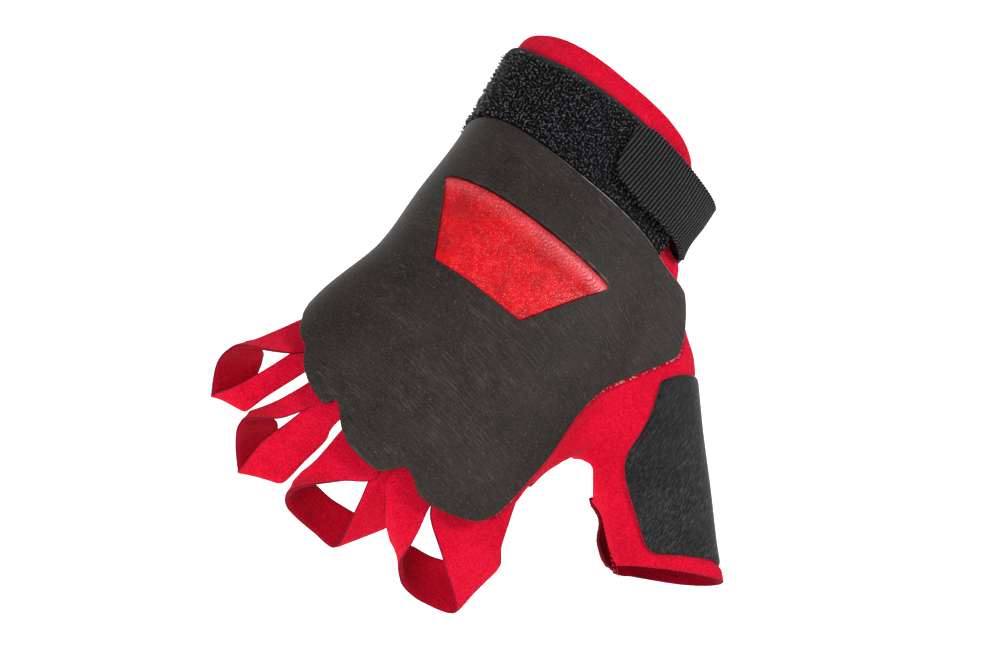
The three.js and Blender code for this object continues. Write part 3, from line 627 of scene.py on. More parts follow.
def mesh_object(name, points, faces, attributes):
    """A mesh object from points in millimetres and a list of face arrays (triangles or quads).
    attributes are values for the material, by name, one for each point."""
    mesh = bpy.data.meshes.new(name)
    mesh.vertices.add(len(points))
    mesh.vertices.foreach_set("co", (points * MM).astype(np.float32).ravel())
    corners = np.concatenate([f.ravel() for f in faces])
    sizes = np.concatenate([np.full(len(f), f.shape[1]) for f in faces])
    starts = np.concatenate([[0], np.cumsum(sizes)[:-1]])
    mesh.loops.add(len(corners))
    mesh.loops.foreach_set("vertex_index", corners.astype(np.int32))
    mesh.polygons.add(len(sizes))
    mesh.polygons.foreach_set("loop_start", starts.astype(np.int32))
    mesh.update(calc_edges=True)
    mesh.validate()
    for key, values in attributes.items():
        layer = mesh.attributes.new(key, "FLOAT", "POINT")
        layer.data.foreach_set("value", np.asarray(values, np.float32))
    mesh.polygons.foreach_set("use_smooth", np.ones(len(mesh.polygons), bool))
    piece = bpy.data.objects.new(name, mesh)
    bpy.context.scene.collection.objects.link(piece)
    return piece


def closed_sheet(name, top, base, triangles, columns):
    """A sheet from its outer and its inner face, with a wall along its rim."""
    n = len(top)
    ring = boundary_edges(triangles)
    wall = np.stack([ring[:, 1], ring[:, 0], ring[:, 0] + n, ring[:, 1] + n], -1)
    attributes = {"inside": np.repeat([0.0, 1.0], n)}
    for key, values in columns.items():
        attributes[key] = np.tile(values, 2)
    return mesh_object(
        name, np.vstack([top, base]), [triangles, triangles[:, ::-1] + n, wall], attributes
    )


def rim_drop(distance, width, depth):
    """How far a rounded edge falls below the flat surface, at a distance from the edge."""
    d = np.clip(distance, 0, width) / width
    return depth * (1 - np.sqrt(np.maximum(1 - (1 - d) ** 2, 0)))


# Columns of the table of a sheet's points while it is cut
PLACE, NORMAL, EDGE = slice(0, 3), slice(3, 6), 6
RIM_STEPS = (0.04, 0.14, 0.32, 0.6, 1.0)    # where the rim's rounding is cut, as shares of its width
UNDER_RIM = 0.25                            # radius of the inner edge's rounding
KEPT_ROUND = 4                              # skin kept outside a piece's edge until the cut
SLIVER, STRAP_SLIVER = 0.02, 0.015          # points nearer than this are joined


def sheet_piece(name, field_of, inner, outer, rim, lift, refine=0, extra=None):
    """A piece cut from the skin, between two offsets from it. Its edge is where field_of is zero on
    the outer face. rim is the width and the depth of the outer edge's rounding. lift(points, normals,
    distance) moves the whole sheet out, and extra, called the same way, gives more columns for the
    material, by name."""

    def edge_distance(place, normals):
        return along_surface(field_of(place + normals * outer), normals)

    points, triangles = SKIN
    data = np.column_stack([points, SKIN_NORMALS, edge_distance(points, SKIN_NORMALS)])
    near = (data[triangles, EDGE] > -KEPT_ROUND).any(1)
    data, triangles = only_used(data, triangles[near])
    for _ in range(refine):
        data, triangles = halved(data, triangles)
        fine = on_skin(data[:, PLACE], 2)
        normals = unit(form_gradient(fine))
        data = np.column_stack([fine, normals, edge_distance(fine, normals)])
    data, triangles = split_at(data, triangles, EDGE, 0.0, keep_below=False)
    for step in RIM_STEPS:
        data, triangles = split_at(data, triangles, EDGE, step * rim[0])
    data, triangles = only_used(data, triangles)
    data, triangles = merged_close(data, triangles, SLIVER)
    place, normals, distance = data[:, PLACE], unit(data[:, NORMAL]), data[:, EDGE]
    raised = lift(place, normals, distance)
    top = place + normals * (outer - rim_drop(distance, *rim) + raised)[:, None]
    base = place + normals * (inner + rim_drop(distance, UNDER_RIM, UNDER_RIM) + raised)[:, None]
    columns = {"edge": distance}
    if extra:
        columns.update(extra(place, normals, distance))
    return closed_sheet(name, top, base, triangles, columns)


SKIN_CELL = 1.3
SKIN_LOW, SKIN_HIGH = np.array([-56.0, -142.0, -44.0]), np.array([132.0, 58.0, 40.0])
SKIN = skin_mesh(SKIN_LOW, SKIN_HIGH, SKIN_CELL)
SKIN_NORMALS = unit(form_gradient(SKIN[0]))

rubber_outline = outline(RUBBER_EDGE)
window_outline = rounded_polygon(WINDOW_CORNERS, WINDOW_CORNER_RADIUS)
patch_outline = outline(PATCH_EDGE)

# Where each piece lies


def above(p, height):
    return plane_distance(p, (0, 0, height), (0, 0, 1))


def window_distance(p, points):
    """Inside the window, on the back of the hand only."""
    return both(plan_distance(p, points), above(p, 0))


def thumb_profile_distance(p):
    """Distance inside the thumb's slit, which is drawn as seen from the fingers."""
    from_base = p - THUMB_BASE
    profile = np.stack([from_base @ THUMB_AXIS, from_base @ THUMB_BACK, np.zeros(len(p))], -1)
    value, gradient = plan_distance(profile, outline(THUMB_SLIT_EDGE))
    return value, gradient[:, :1] * THUMB_AXIS + gradient[:, 1:2] * THUMB_BACK


def web_distance(p):
    """Distance inside the slanted cut at the web."""
    seen = p.copy()
    seen[:, :2] -= (p[:, 2:] - WEB_LEVEL) * WEB_SLANT
    value, gradient = plan_distance(seen, outline(WEB_EDGE))
    gradient[:, 2] = -gradient[:, :2] @ WEB_SLANT
    return value, gradient


def body_field(p):
    """The whole skin, less what is past the cuff, the knuckles and the thumb's end, and less the
    open palm, the web and the two slits."""
    kept = inset(rubber_outline, SUEDE_INSET)
    kept = kept[(kept[:, 0] < KNUCKLE_EDGE_X) & (kept[:, 1] < KNUCKLE_EDGE_Y)]
    beyond_knuckles = np.vstack([
        [REACH, kept[0, 1]], kept, [-REACH, kept[-1, 1]], [-REACH, -2 * REACH], [REACH, -2 * REACH],
    ])
    slope = (CUFF_END_THUMB_SIDE - CUFF_END_LITTLE_SIDE) / (2 * REACH)
    cuff = plane_distance(p, (-REACH, CUFF_END_LITTLE_SIDE, 0), (slope, -1, 0))
    top_y, top_z = np.array(PALM_CUT_TOP[::-1], float).T
    palm_top = np.interp(p[:, 1], top_y, top_z)
    palm = both(
        plan_distance(p, outline(PALM_CUT_EDGE)),
        (palm_top - p[:, 2], np.tile([0.0, 0.0, -1.0], (len(p), 1))),
        plane_distance(p, (0, PALM_CUT_TOP[0][0], 0), (0, -1, 0)),
    )
    slit = both(thumb_profile_distance(p), plane_distance(p, THUMB_BASE, THUMB_SIDE))
    cuff_slit = both(
        plane_distance(p, (-CUFF_SLIT_HALF_WIDTH, 0, 0), (1, 0, 0)),
        plane_distance(p, (CUFF_SLIT_HALF_WIDTH, 0, 0), (-1, 0, 0)),
        plane_distance(p, (0, 0, 0), (0, 1, 0)),
        without(above(p, 0)),
    )
    return both(
        cuff,
        without(plan_distance(p, beyond_knuckles)),
        without(palm),
        without(web_distance(p)),
        without(slit),
        plane_distance(p, THUMB_OPENING_POINT, -THUMB_OPENING_NORMAL),
        without(cuff_slit),
    )


def rubber_field(p):
    return both(
        plan_distance(p, rubber_outline),
        above(p, RUBBER_LOWEST),
        without(window_distance(p, window_outline)),
    )


def leather_field(p):
    return window_distance(p, inset(window_outline, LEATHER_INSET))


def patch_field(p):
    return both(plan_distance(p, patch_outline), above(p, PATCH_LOWEST))


def tape_field(p):
    return both(plan_distance(p, outline(TAPE_EDGE)), above(p, TAPE_LOWEST))


# Soft forms on the pieces, and values for their materials


def hump(v, middle, half_width):
    """1 at the middle, falling off to both sides."""
    return np.exp(-(((v - middle) / half_width) ** 2))


def plateau(v, up_from, up_to, down_from, down_to):
    """1 from up_to to down_from, falling off to both sides."""
    return smoothstep(v, up_from, up_to) * (1 - smoothstep(v, down_from, down_to))


def thumb_side_bulge(p):
    """The glove stands off the hand where the thumb's root meets the wrist. 1 at the fullest place."""
    x, y, z = p.T
    return smoothstep(x, 28, 40) * plateau(y, -8, 1, 7, 12) * hump(z, 4, 9)


WEB_MIDDLE = np.array([45.3, -60.5, -5.5])
# How far the suede stands off the hand at its fullest places
STAND_OFF = {
    "wave": 0.16, "ripple": 0.07, "thumb_root": 1.7, "thumb_root_past_rubber": 1.4, "by_strap": 2.6,
    "web": 3.4, "cuff_little_side": 1.6, "cuff_thumb_side": 0.6, "ridge": 0.9, "lip": 1.1,
}
BY_PATCH = 1.35                    # beside the patch, as a share of the ridge


def suede_lift(p, normals, distance):
    """Soft waves, and the places where the suede stands off the hand."""
    x, y, z = p.T
    from_base = p - THUMB_BASE
    along, height = from_base @ THUMB_AXIS / THUMB_LENGTH, from_base @ THUMB_BACK
    past_rubber = smoothstep(-plan_distance(p, rubber_outline)[0], 0.4, 3)
    from_patch = -plan_distance(p + normals * (RUBBER_SEAT + PATCH), patch_outline)[0]
    by_patch = BY_PATCH * plateau(from_patch, 0.2, 1.6, 6, 18) * smoothstep(height, -15, -9)
    ridge = plateau(x, 46, 54, 66, 73) * hump(z, 0, 7) * (1 - smoothstep(y, -6, 2))
    web = hump(np.linalg.norm(p - WEB_MIDDLE, axis=1), 0, 13) * (1 - smoothstep(z, -1.5, 4))
    lip = hump(height, -3.5, 3) * plateau(along, 0.74, 0.86, 0.9, 0.97)
    places = {
        "wave": noise(p, 9, 3),
        "ripple": noise(p, 3.2, 4),
        "thumb_root": thumb_side_bulge(p),
        "thumb_root_past_rubber": thumb_side_bulge(p) * past_rubber,
        "by_strap": past_rubber * smoothstep(x, 28, 38) * plateau(y, 3, 8, 10, 15) * hump(z, 4, 9),
        "web": web * (1 - 0.6 * smoothstep(x, 48, 53)),
        "cuff_little_side": smoothstep(y, 32, 40) * smoothstep(-x, 38, 44),
        "cuff_thumb_side": smoothstep(y, 24, 32) * plateau(x, -14, 10, 11, 22),
        "ridge": np.maximum(ridge * past_rubber, by_patch),
        "lip": lip * (from_base @ THUMB_SIDE > 0),
    }
    return sum(STAND_OFF[place] * share for place, share in places.items())


def near_rubber(p, normals, distance):
    """How far the suede lies outside the rubber's edge, for the painted shade and the traces of glue
    there.
    """
    far = plan_distance(p + normals * RUBBER_SEAT, rubber_outline)[0]
    return {"shade_and_glue": np.where(p[:, 2] > -2, -far, FAR)}


def pale_edge_and_highlight(p, normals, distance):
    """Where the rubber's cut edge shows its pale tone and painted highlight: the wrist's thumb half,
    beside the window.
    """
    x, y, _ = p.T
    at_wrist = smoothstep(y, -9, -6) * smoothstep(x, -16, 10)
    at_window = smoothstep(plan_distance(p, window_outline)[0], -4, -2) * smoothstep(y, -27, -24)
    return {"pale": 0.02 + 0.98 * np.maximum(at_wrist, 0.15 * at_window * smoothstep(x, 0, 20))}


def rubber_lift(p, normals, distance):
    return 0.05 * noise(p, 14, 5) + STAND_OFF["thumb_root"] * thumb_side_bulge(p)


def patch_lift(p, normals, distance):
    """Low waves. Near the thumb's tip the patch lies closer."""
    along = (p - THUMB_BASE) @ THUMB_AXIS / THUMB_LENGTH
    return 0.05 * noise(p, 8, 6) - 0.55 * smoothstep(along, 0.72, 0.95)


WRINKLE_PITCH, WRINKLE_HEIGHT = 1.15, 0.1
FOLD_Y, FOLD_HALF_WIDTH = -25.2, 2.6
DIMPLE_X, DIMPLE_Y = -24, -33


def leather_fold(p):
    """1 on top of the fold along the window's wrist side."""
    return hump(p[:, 1], FOLD_Y, FOLD_HALF_WIDTH)


def leather_wrinkle(p):
    """Arced wrinkles across the fold, from -1 to 1."""
    x, y, _ = p.T
    from_top = -y - 25.6
    bow = x + 0.16 * from_top**2 + 0.9 * noise(p, 3.5, 21)
    wrinkle = np.sin(2 * np.pi * bow / WRINKLE_PITCH) * hump(from_top, 0, 2.8)
    return wrinkle * (0.35 + 0.65 * smoothstep(x, -16, 0)) * (0.6 + 0.4 * noise(p, 3, 24))


def leather_dimple(p, half_width):
    return hump(np.hypot(p[:, 0] - DIMPLE_X, p[:, 1] - DIMPLE_Y), 0, half_width)


def leather_light_and_shade(p, normals, distance):
    """Painted highlight on the fold, and painted shade where the leather lies deep beside it."""
    x, y, _ = p.T
    deep = hump(y, -30.2, 2.2) * plateau(x, -16, 2, 12, 24)
    light = leather_fold(p) * (0.4 + 0.25 * smoothstep(x, -14, 8) + 0.35 * smoothstep(x, 8, 24))
    return {
        "light": light, "deep": np.maximum(deep, leather_dimple(p, 3)), "wrinkle": leather_wrinkle(p),
    }


def leather_lift(p, normals, distance):
    """A fold that runs along the window's wrist side, wrinkles across it, and hollows beside it."""
    x, y, _ = p.T
    thumbward = smoothstep(x, -30, 8)
    fold = (0.45 + 0.9 * thumbward) * leather_fold(p)
    hollow = 0.7 * thumbward * hump(y, -30.4, 2.4) * (1 - smoothstep(x, 18, 28))
    dimple = 0.5 * leather_dimple(p, math.sqrt(12))
    pebble = 0.045 * noise(p, 1.1, 23) + 0.10 * noise(p, 5, 25)
    tuck = 0.25 * np.exp(-distance / 0.7)
    return 0.2 + fold - hollow - dimple + WRINKLE_HEIGHT * leather_wrinkle(p) + pebble - tuck


def selvedge_share(p, distance):
    """1 on the bare woven border along the tape's cuff side."""
    return (1 - smoothstep(distance, SELVEDGE - 0.1, SELVEDGE + 0.3)) * (p[:, 1] > 20)


def tape_base_lift(p, normals, distance):
    """The field of the tape is drawn at its full height, so the base is let down from there."""
    corner = smoothstep(p[:, 1], 28, 33) * smoothstep(-p[:, 0], 34, 41)
    return TAPE_WEB - TAPE + 0.3 * selvedge_share(p, distance) + 1.5 * corner


def tape_threads(p, normals, distance):
    """Length round the wrist, and where the woven border is."""
    round_wrist = np.arctan2(p[:, 2], p[:, 0] - WRIST_AXIS_X) * WRIST_RADIUS
    return {"along": round_wrist, "selvedge": selvedge_share(p, distance)}


# Pieces cut from the skin

body = sheet_piece(
    "glove_body_suede", body_field, 0.0, SUEDE, (0.35, 0.35), suede_lift, extra=near_rubber
)
rubber = sheet_piece(
    "rubber_back_panel_sheet", rubber_field, RUBBER_SEAT, RUBBER_SEAT + RUBBER, (0.35, 0.3),
    rubber_lift, extra=pale_edge_and_highlight,
)
leather = sheet_piece(
    "window_leather_sheet", leather_field, RUBBER_SEAT, RUBBER_SEAT + LEATHER, (0.4, 0.4),
    leather_lift, refine=2, extra=leather_light_and_shade,
)
patch = sheet_piece(
    "thumb_rubber_patch_sheet", patch_field, RUBBER_SEAT, RUBBER_SEAT + PATCH, (1.6, 0.75), patch_lift
)
tape = sheet_piece(
    "wrist_loop_tape_base", tape_field, RUBBER_SEAT + TAPE - TAPE_WEB, RUBBER_SEAT + TAPE, (0.3, 0.25),
    tape_base_lift, extra=tape_threads,
)

# The strap: a grid round the wrist, square to its length, trimmed at its ends


def strap_seat(p):
    on_tape = smoothstep(p[:, 2], STRAP_STEP["low"], STRAP_STEP["high"])
    angle = np.degrees(np.arctan2(p[:, 2], p[:, 0] - WRIST_AXIS_X))
    low, high = STRAP_FLARE_Y
    ramp = (p[:, 1] - low) / (high - low)
    flare = table_value(STRAP_FLARE, 1, angle) * ramp + table_value(STRAP_FLARE, 2, angle) * (1 - ramp)
    flare = flare * (np.abs(angle) < 89)
    seat = RUBBER_SEAT + (STRAP_SEAT_ON_TAPE - RUBBER_SEAT) * on_tape + flare
    return np.where(p[:, 0] < STRAP_STEP["from_x"], RUBBER_SEAT, seat)


def leaving_point(start, way, low, high, depth=0.0, passes=30):
    """The last point from start along way, between low and high, that lies deeper than depth."""
    low, high = np.full(start.shape[:-1], float(low)), np.full(start.shape[:-1], float(high))
    for _ in range(passes):
        middle = (low + high) / 2
        inside = form_distance(start + way * middle[..., None]) < depth
        low, high = np.where(inside, middle, low), np.where(inside, high, middle)
    return start + way * low[..., None]


def skin_from_axis(angles, y):
    """Skin points where rays from the wrist's axis, square to Y, leave the form."""
    way = np.stack([np.cos(angles), np.zeros_like(angles), np.sin(angles)], -1)
    start = np.stack([np.full_like(y, WRIST_AXIS_X), y, np.zeros_like(y)], -1)
    return leaving_point(start, way, 2, 70, passes=26)


def strap_slip(angles):
    turned_to = (np.degrees(angles) + 180) % 360 - 180
    rising, falling = STRAP_SLIP_ANGLES
    return STRAP_SLIP * plateau(turned_to, *rising, *falling)


RIB_PITCH, RIB_HEIGHT = 1.26, 0.3
RIB_SKEW = -0.03                   # the ribs lean along the strap by this much for each mm across it
STEPS_PER_RIB = 8
STRAP_WIDTH = STRAP_Y[1] - STRAP_Y[0]
STRAP_GRID_ENDS = (170, 455)       # degrees round the wrist
STRAP_RIM = 0.45                   # radius of the rounding of its edges
STRAP_END_STEPS = (0.05, 0.2, STRAP_RIM)
FROM_SIDE = np.array([0, 0.1, 0.3, 0.6, 1.0, 1.6])      # columns of the grid near a side
FIRST_INNER, INNER_COLUMNS = 2.6, 18                    # and the even ones between


def strap_piece():
    """The strap, with ribs across it that are real relief."""
    first, last = (math.radians(angle) for angle in STRAP_GRID_ENDS)
    coarse = np.linspace(first, last, 1500)
    middle = skin_from_axis(coarse, np.full_like(coarse, sum(STRAP_Y) / 2))
    middle = middle + unit(form_gradient(middle)) * (strap_seat(middle) + STRAP)[:, None]
    length = np.concatenate([[0], np.cumsum(np.linalg.norm(np.diff(middle, axis=0), axis=1))])
    s = np.linspace(0, length[-1], int(length[-1] / RIB_PITCH * STEPS_PER_RIB))
    angles = np.interp(s, length, coarse)
    inner = np.linspace(FIRST_INNER, STRAP_WIDTH - FIRST_INNER, INNER_COLUMNS)
    across = np.concatenate([FROM_SIDE, inner, (STRAP_WIDTH - FROM_SIDE)[::-1]])
    grid_angle, grid_across = np.meshgrid(angles, across, indexing="ij")
    place = skin_from_axis(grid_angle, STRAP_Y[0] + strap_slip(grid_angle) + grid_across).reshape(-1, 3)
    grid_across = grid_across.ravel()
    grid_s = np.repeat(s, len(across)) + RIB_SKEW * grid_across
    normals = unit(form_gradient(place))
    triangles = in_triangles(grid_quads(len(s), len(across)))
    seat = strap_seat(place)
    on_strap = place + normals * (seat + STRAP)[:, None]
    removed = both(plan_distance(on_strap, outline(STRAP_END_EDGE)), above(on_strap, STRAP_START_Z))
    corner = plan_distance(on_strap, outline(STRAP_CORNER_EDGE))
    trimmed = along_surface(both(without(removed), without(corner)), normals)
    distance = np.minimum(trimmed, np.minimum(grid_across, STRAP_WIDTH - grid_across))
    data = np.column_stack([place, normals, trimmed, distance, seat, grid_s, grid_across])
    data, triangles = split_at(data, triangles, EDGE, 0.0, keep_below=False)
    for step in STRAP_END_STEPS:
        data, triangles = split_at(data, triangles, EDGE, step)
    data, triangles = only_used(data, triangles)
    data, triangles = merged_close(data, triangles, STRAP_SLIVER)
    place, normals = data[:, PLACE], unit(data[:, NORMAL])
    trimmed, distance, seat, s_at, across_at = data[:, EDGE:].T
    distance = np.minimum(distance, trimmed)
    rib = RIB_HEIGHT * (np.cos(2 * np.pi * s_at / RIB_PITCH) - 1)
    calm = smoothstep(distance, 0.1, 1.1)
    rounding = rim_drop(distance, STRAP_RIM, STRAP_RIM)
    top = place + normals * (seat + STRAP - rounding + rib * (0.6 + 0.4 * calm))[:, None]
    base = place + normals * (seat + 0.05 + rounding)[:, None]
    return closed_sheet(
        "wrist_strap_webbing", top, base, triangles, {"edge": distance, "along": s_at, "across": across_at}
    )


strap = strap_piece()

# Finger loops: ribbons between two edge curves

LOOP_STEPS, LOOP_COLUMNS = ((16, 15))
LOOP_RIM = 0.3
LOOP_INNER_TONE = 0.52             # how far the loops' inner face takes the inside's dark colour: its own tone, deepened by painted shade


def under_suede(x, y):
    return leaving_point(np.array([x, y, 0.0]), np.array([0.0, 0.0, 1.0]), 0, 40, LOOP_DEPTH)


def finger_loop(name, rows):
    """A ribbon whose edges run through the two points of each row."""

    def edge(first):
        return [
            under_suede(row[first], row[first + 1]) if row[first + 2] is None
            else np.array(row[first : first + 3], float)
            for row in rows
        ]

    wrist = smooth_through(edge(0), LOOP_STEPS, extend=True)
    tip = smooth_through(edge(3), LOOP_STEPS, extend=True)
    width = np.linalg.norm(tip - wrist, axis=1).mean()
    share = np.linspace(0, 1, LOOP_COLUMNS)
    middle = wrist[:, None] * (1 - share[None, :, None]) + tip[:, None] * share[None, :, None]
    normals = unit(np.cross(np.gradient(middle, axis=0), np.gradient(middle, axis=1)))
    from_edge = np.minimum(share, 1 - share) * width
    half = LOOP / 2 - rim_drop(from_edge, LOOP_RIM, LOOP_RIM)
    wave = 0.12 * noise(middle, 6, 31) + 0.05 * noise(middle, 2.2, 32)
    outer = middle + normals * (half + wave)[..., None]
    inner = middle + normals * (wave - half)[..., None]
    section = np.concatenate([outer, inner[:, ::-1]], axis=1)
    count, size = len(middle), 2 * LOOP_COLUMNS
    faces = [grid_quads(count, size, closed=True)]
    lid = np.arange(LOOP_COLUMNS - 1)
    for start, flip in ((0, False), ((count - 1) * size, True)):
        cap = np.stack([start + lid, start + lid + 1, start + size - 2 - lid, start + size - 1 - lid], -1)
        faces.append(cap[:, ::-1] if flip else cap)
    tone = np.repeat([0.0, LOOP_INNER_TONE], LOOP_COLUMNS)
    return mesh_object(name, section.reshape(-1, 3), faces, {
        "inside": np.tile(tone, count),
        "edge": np.tile(np.concatenate([from_edge, from_edge[::-1]]), count),
        "shade_and_glue": np.full(count * size, FAR),
    })


loops = {name: finger_loop(f"finger_loop_{name}_suede", rows) for name, rows in FINGER_LOOPS.items()}

# The pile of the tape: small hooks of thread


def tubes(name, paths, radius, shade, sides=4):
    """Many thin tubes as one mesh. paths has the shape (tube, point, 3)."""
    count, steps, _ = paths.shape
    tangent = unit(np.gradient(paths, axis=1))
    helper = np.where(np.abs(tangent[..., 2:]) < 0.9, [[[0.0, 0.0, 1.0]]], [[[1.0, 0.0, 0.0]]])
    u = unit(np.cross(tangent, helper))
    v = np.cross(tangent, u)
    turns = (2 * np.pi * np.arange(sides) / sides)[:, None]
    ring = paths[:, :, None] + radius * (u[:, :, None] * np.cos(turns) + v[:, :, None] * np.sin(turns))
    first = np.arange(count) * steps * sides
    quads = np.roll(grid_quads(steps, sides, closed=True)[:, ::-1], 1, axis=1)
    quads = (quads + first[:, None, None]).reshape(-1, 4)
    start = first[:, None] + np.arange(sides)
    caps = [start[:, ::-1], start + (steps - 1) * sides]
    values = np.repeat(np.broadcast_to(shade, (count, steps)), sides)
    return mesh_object(name, ring.reshape(-1, 3), [quads, *caps], {"shade": values})


THREAD_RADIUS = 0.15
HOOK_ROW_PITCH, HOOK_PITCH = 1.45, 0.7
PILE_ANGLES = (math.radians(18), math.radians(192))
PILE_Y = (0.5, 34)
FOOT_SPREAD = (0.16, 0.10)              # of the hooks' feet, round the wrist and along the hand
HOOK_TURN, TURN_SPREAD, TURNED_BACK = 0.35, 0.4, 0.2    # radians, and the share that faces back
HOOK_REACH, HOOK_HEIGHT, HOOK_LEAN = (0.45, 0.7), (0.85, 1.25), 0.22
HIDDEN_X, HIDDEN_Y = 9, (11, 26.5)      # where the strap lies on the tape: x more than, y between
# A hook from its foot: share of its reach sideways, share of its height, and its painted light (shade at
# the foot, highlight at the tip)
HOOK_SHAPE = np.array([
    [0, 0, 0], [0.02, 0.45, 0.05], [0.08, 0.75, 0.25], [0.32, 0.95, 0.9], [0.66, 1, 1], [0.94, 0.84, 0.9],
    [1, 0.55, 0.4],
])


def tape_pile():
    """Small hooks of thread in staggered rows, left out where the strap hides them."""
    reach_share, height_share, lightness = HOOK_SHAPE.T
    columns = np.arange(*PILE_ANGLES, HOOK_ROW_PITCH / WRIST_RADIUS)
    angle, y = np.meshgrid(columns, np.arange(*PILE_Y, HOOK_PITCH), indexing="ij")
    y = y + HOOK_PITCH / 2 * (np.arange(len(columns)) % 2)[:, None]
    count = angle.size
    angle = angle.ravel() + RANDOM.normal(0, FOOT_SPREAD[0], count) / WRIST_RADIUS
    y = y.ravel() + RANDOM.normal(0, FOOT_SPREAD[1], count)
    at = skin_from_axis(angle, y)
    normals = unit(form_gradient(at))
    distance = along_surface(tape_field(at + normals * (RUBBER_SEAT + TAPE)), normals)
    hidden = (at[:, 0] > HIDDEN_X) & (y > HIDDEN_Y[0]) & (y < HIDDEN_Y[1])
    keep = (distance > 0.12 + SELVEDGE * (y > 20)) & ~hidden
    at, normals, distance = at[keep], normals[keep], distance[keep]
    at = at + normals * (RUBBER_SEAT + TAPE - 0.1 + tape_base_lift(at, normals, distance))[:, None]
    count = len(at)
    matted_and_shaded = smoothstep(at[:, 0], -6, 6)
    at_fold = smoothstep(-at[:, 0], 33, 39)
    cuffward = unit(np.array([[0.0, 1.0, 0.0]]) - normals * normals[:, 1:2])
    round_wrist = np.cross(normals, cuffward)
    turn = RANDOM.normal(HOOK_TURN, TURN_SPREAD, count) + np.pi * (RANDOM.random(count) < TURNED_BACK)
    forward = round_wrist * np.cos(turn)[:, None] + cuffward * np.sin(turn)[:, None]
    sideways = np.cross(normals, forward)
    reach = RANDOM.uniform(*HOOK_REACH, count)[:, None] * reach_share
    height = RANDOM.uniform(*HOOK_HEIGHT, count)
    height = (height * (1 + 0.9 * at_fold * RANDOM.random(count) - 0.3 * matted_and_shaded))[:, None] * height_share
    lean = RANDOM.normal(0, HOOK_LEAN, count)[:, None] * height_share**2
    paths = (
        at[:, None] + forward[:, None] * reach[..., None] + normals[:, None] * height[..., None]
        + sideways[:, None] * lean[..., None]
    )
    # painted light on each hook: lighter at the fold, and painted shade where the pile is matted near the
    # strap
    shade = (RANDOM.random(count) * (0.85 + 0.15 * at_fold - 0.15 * matted_and_shaded))[:, None] * lightness
    half = count // 2
    return [
        tubes("wrist_loop_tape_pile_a", paths[:half], THREAD_RADIUS, shade[:half]),
        tubes("wrist_loop_tape_pile_b", paths[half:], THREAD_RADIUS, shade[half:]),
    ]


piles = tape_pile()

# The seam on the thumb's inner face behind the slit

STITCH_ROWS = (-2.9, -4.3)         # height towards the back of the thumb
STITCHES_ALONG = (70.5, 91.0)      # from the thumb's base
STITCH_PITCH, STITCH_LENGTH, STITCH_RADIUS, STITCH_ARCH = 1.55, 1.1, 0.18, 0.12
LOOSE_END = np.array([(80.2, -77.1, -11.1), (81.7, -78.5, -11.1), (83.1, -79.6, -11.9)])
SLIT_VIEW = np.array([-0.058, -0.436, 0.898])   # from the slit to where it is looked into
LAID_AT_MOST = 20


def inside_thumb(along, height):
    """The point of the skin that faces the fingers, at a distance along the thumb and a height."""
    start = THUMB_BASE + THUMB_AXIS * along + THUMB_BACK * height
    return leaving_point(start, THUMB_SIDE, 0, 30, -0.05)


def laid_on(skin, p):
    """The place on the suede behind a point, as seen through the slit, or None where none is there."""
    start = Vector((p - SLIT_VIEW * 0.4) * MM)
    hit = skin.ray_cast(start, Vector(-SLIT_VIEW), LAID_AT_MOST * MM)[0]
    if hit is None:
        return None
    return np.array(hit) / MM + SLIT_VIEW * STITCH_RADIUS * 0.6


def seam():
    """Stitches in two rows, with a loose end of thread."""
    mesh = body.data
    skin = BVHTree.FromPolygons(
        [v.co.copy() for v in mesh.vertices], [tuple(f.vertices) for f in mesh.polygons]
    )
    paths = []
    for height in STITCH_ROWS:
        for along in np.arange(*STITCHES_ALONG, STITCH_PITCH):
            ends = (along, along + STITCH_LENGTH / 2, along + STITCH_LENGTH)
            points = [laid_on(skin, inside_thumb(at, height)) for at in ends]
            if all(p is not None for p in points):
                points[1] = points[1] + SLIT_VIEW * STITCH_ARCH
                paths.append(points)
    paths.append(LOOSE_END + (laid_on(skin, LOOSE_END[0]) - LOOSE_END[0]))
    return tubes("thumb_slit_stitches", np.array(paths), STITCH_RADIUS, 0.5, sides=6)


stitches = seam()

# Materials


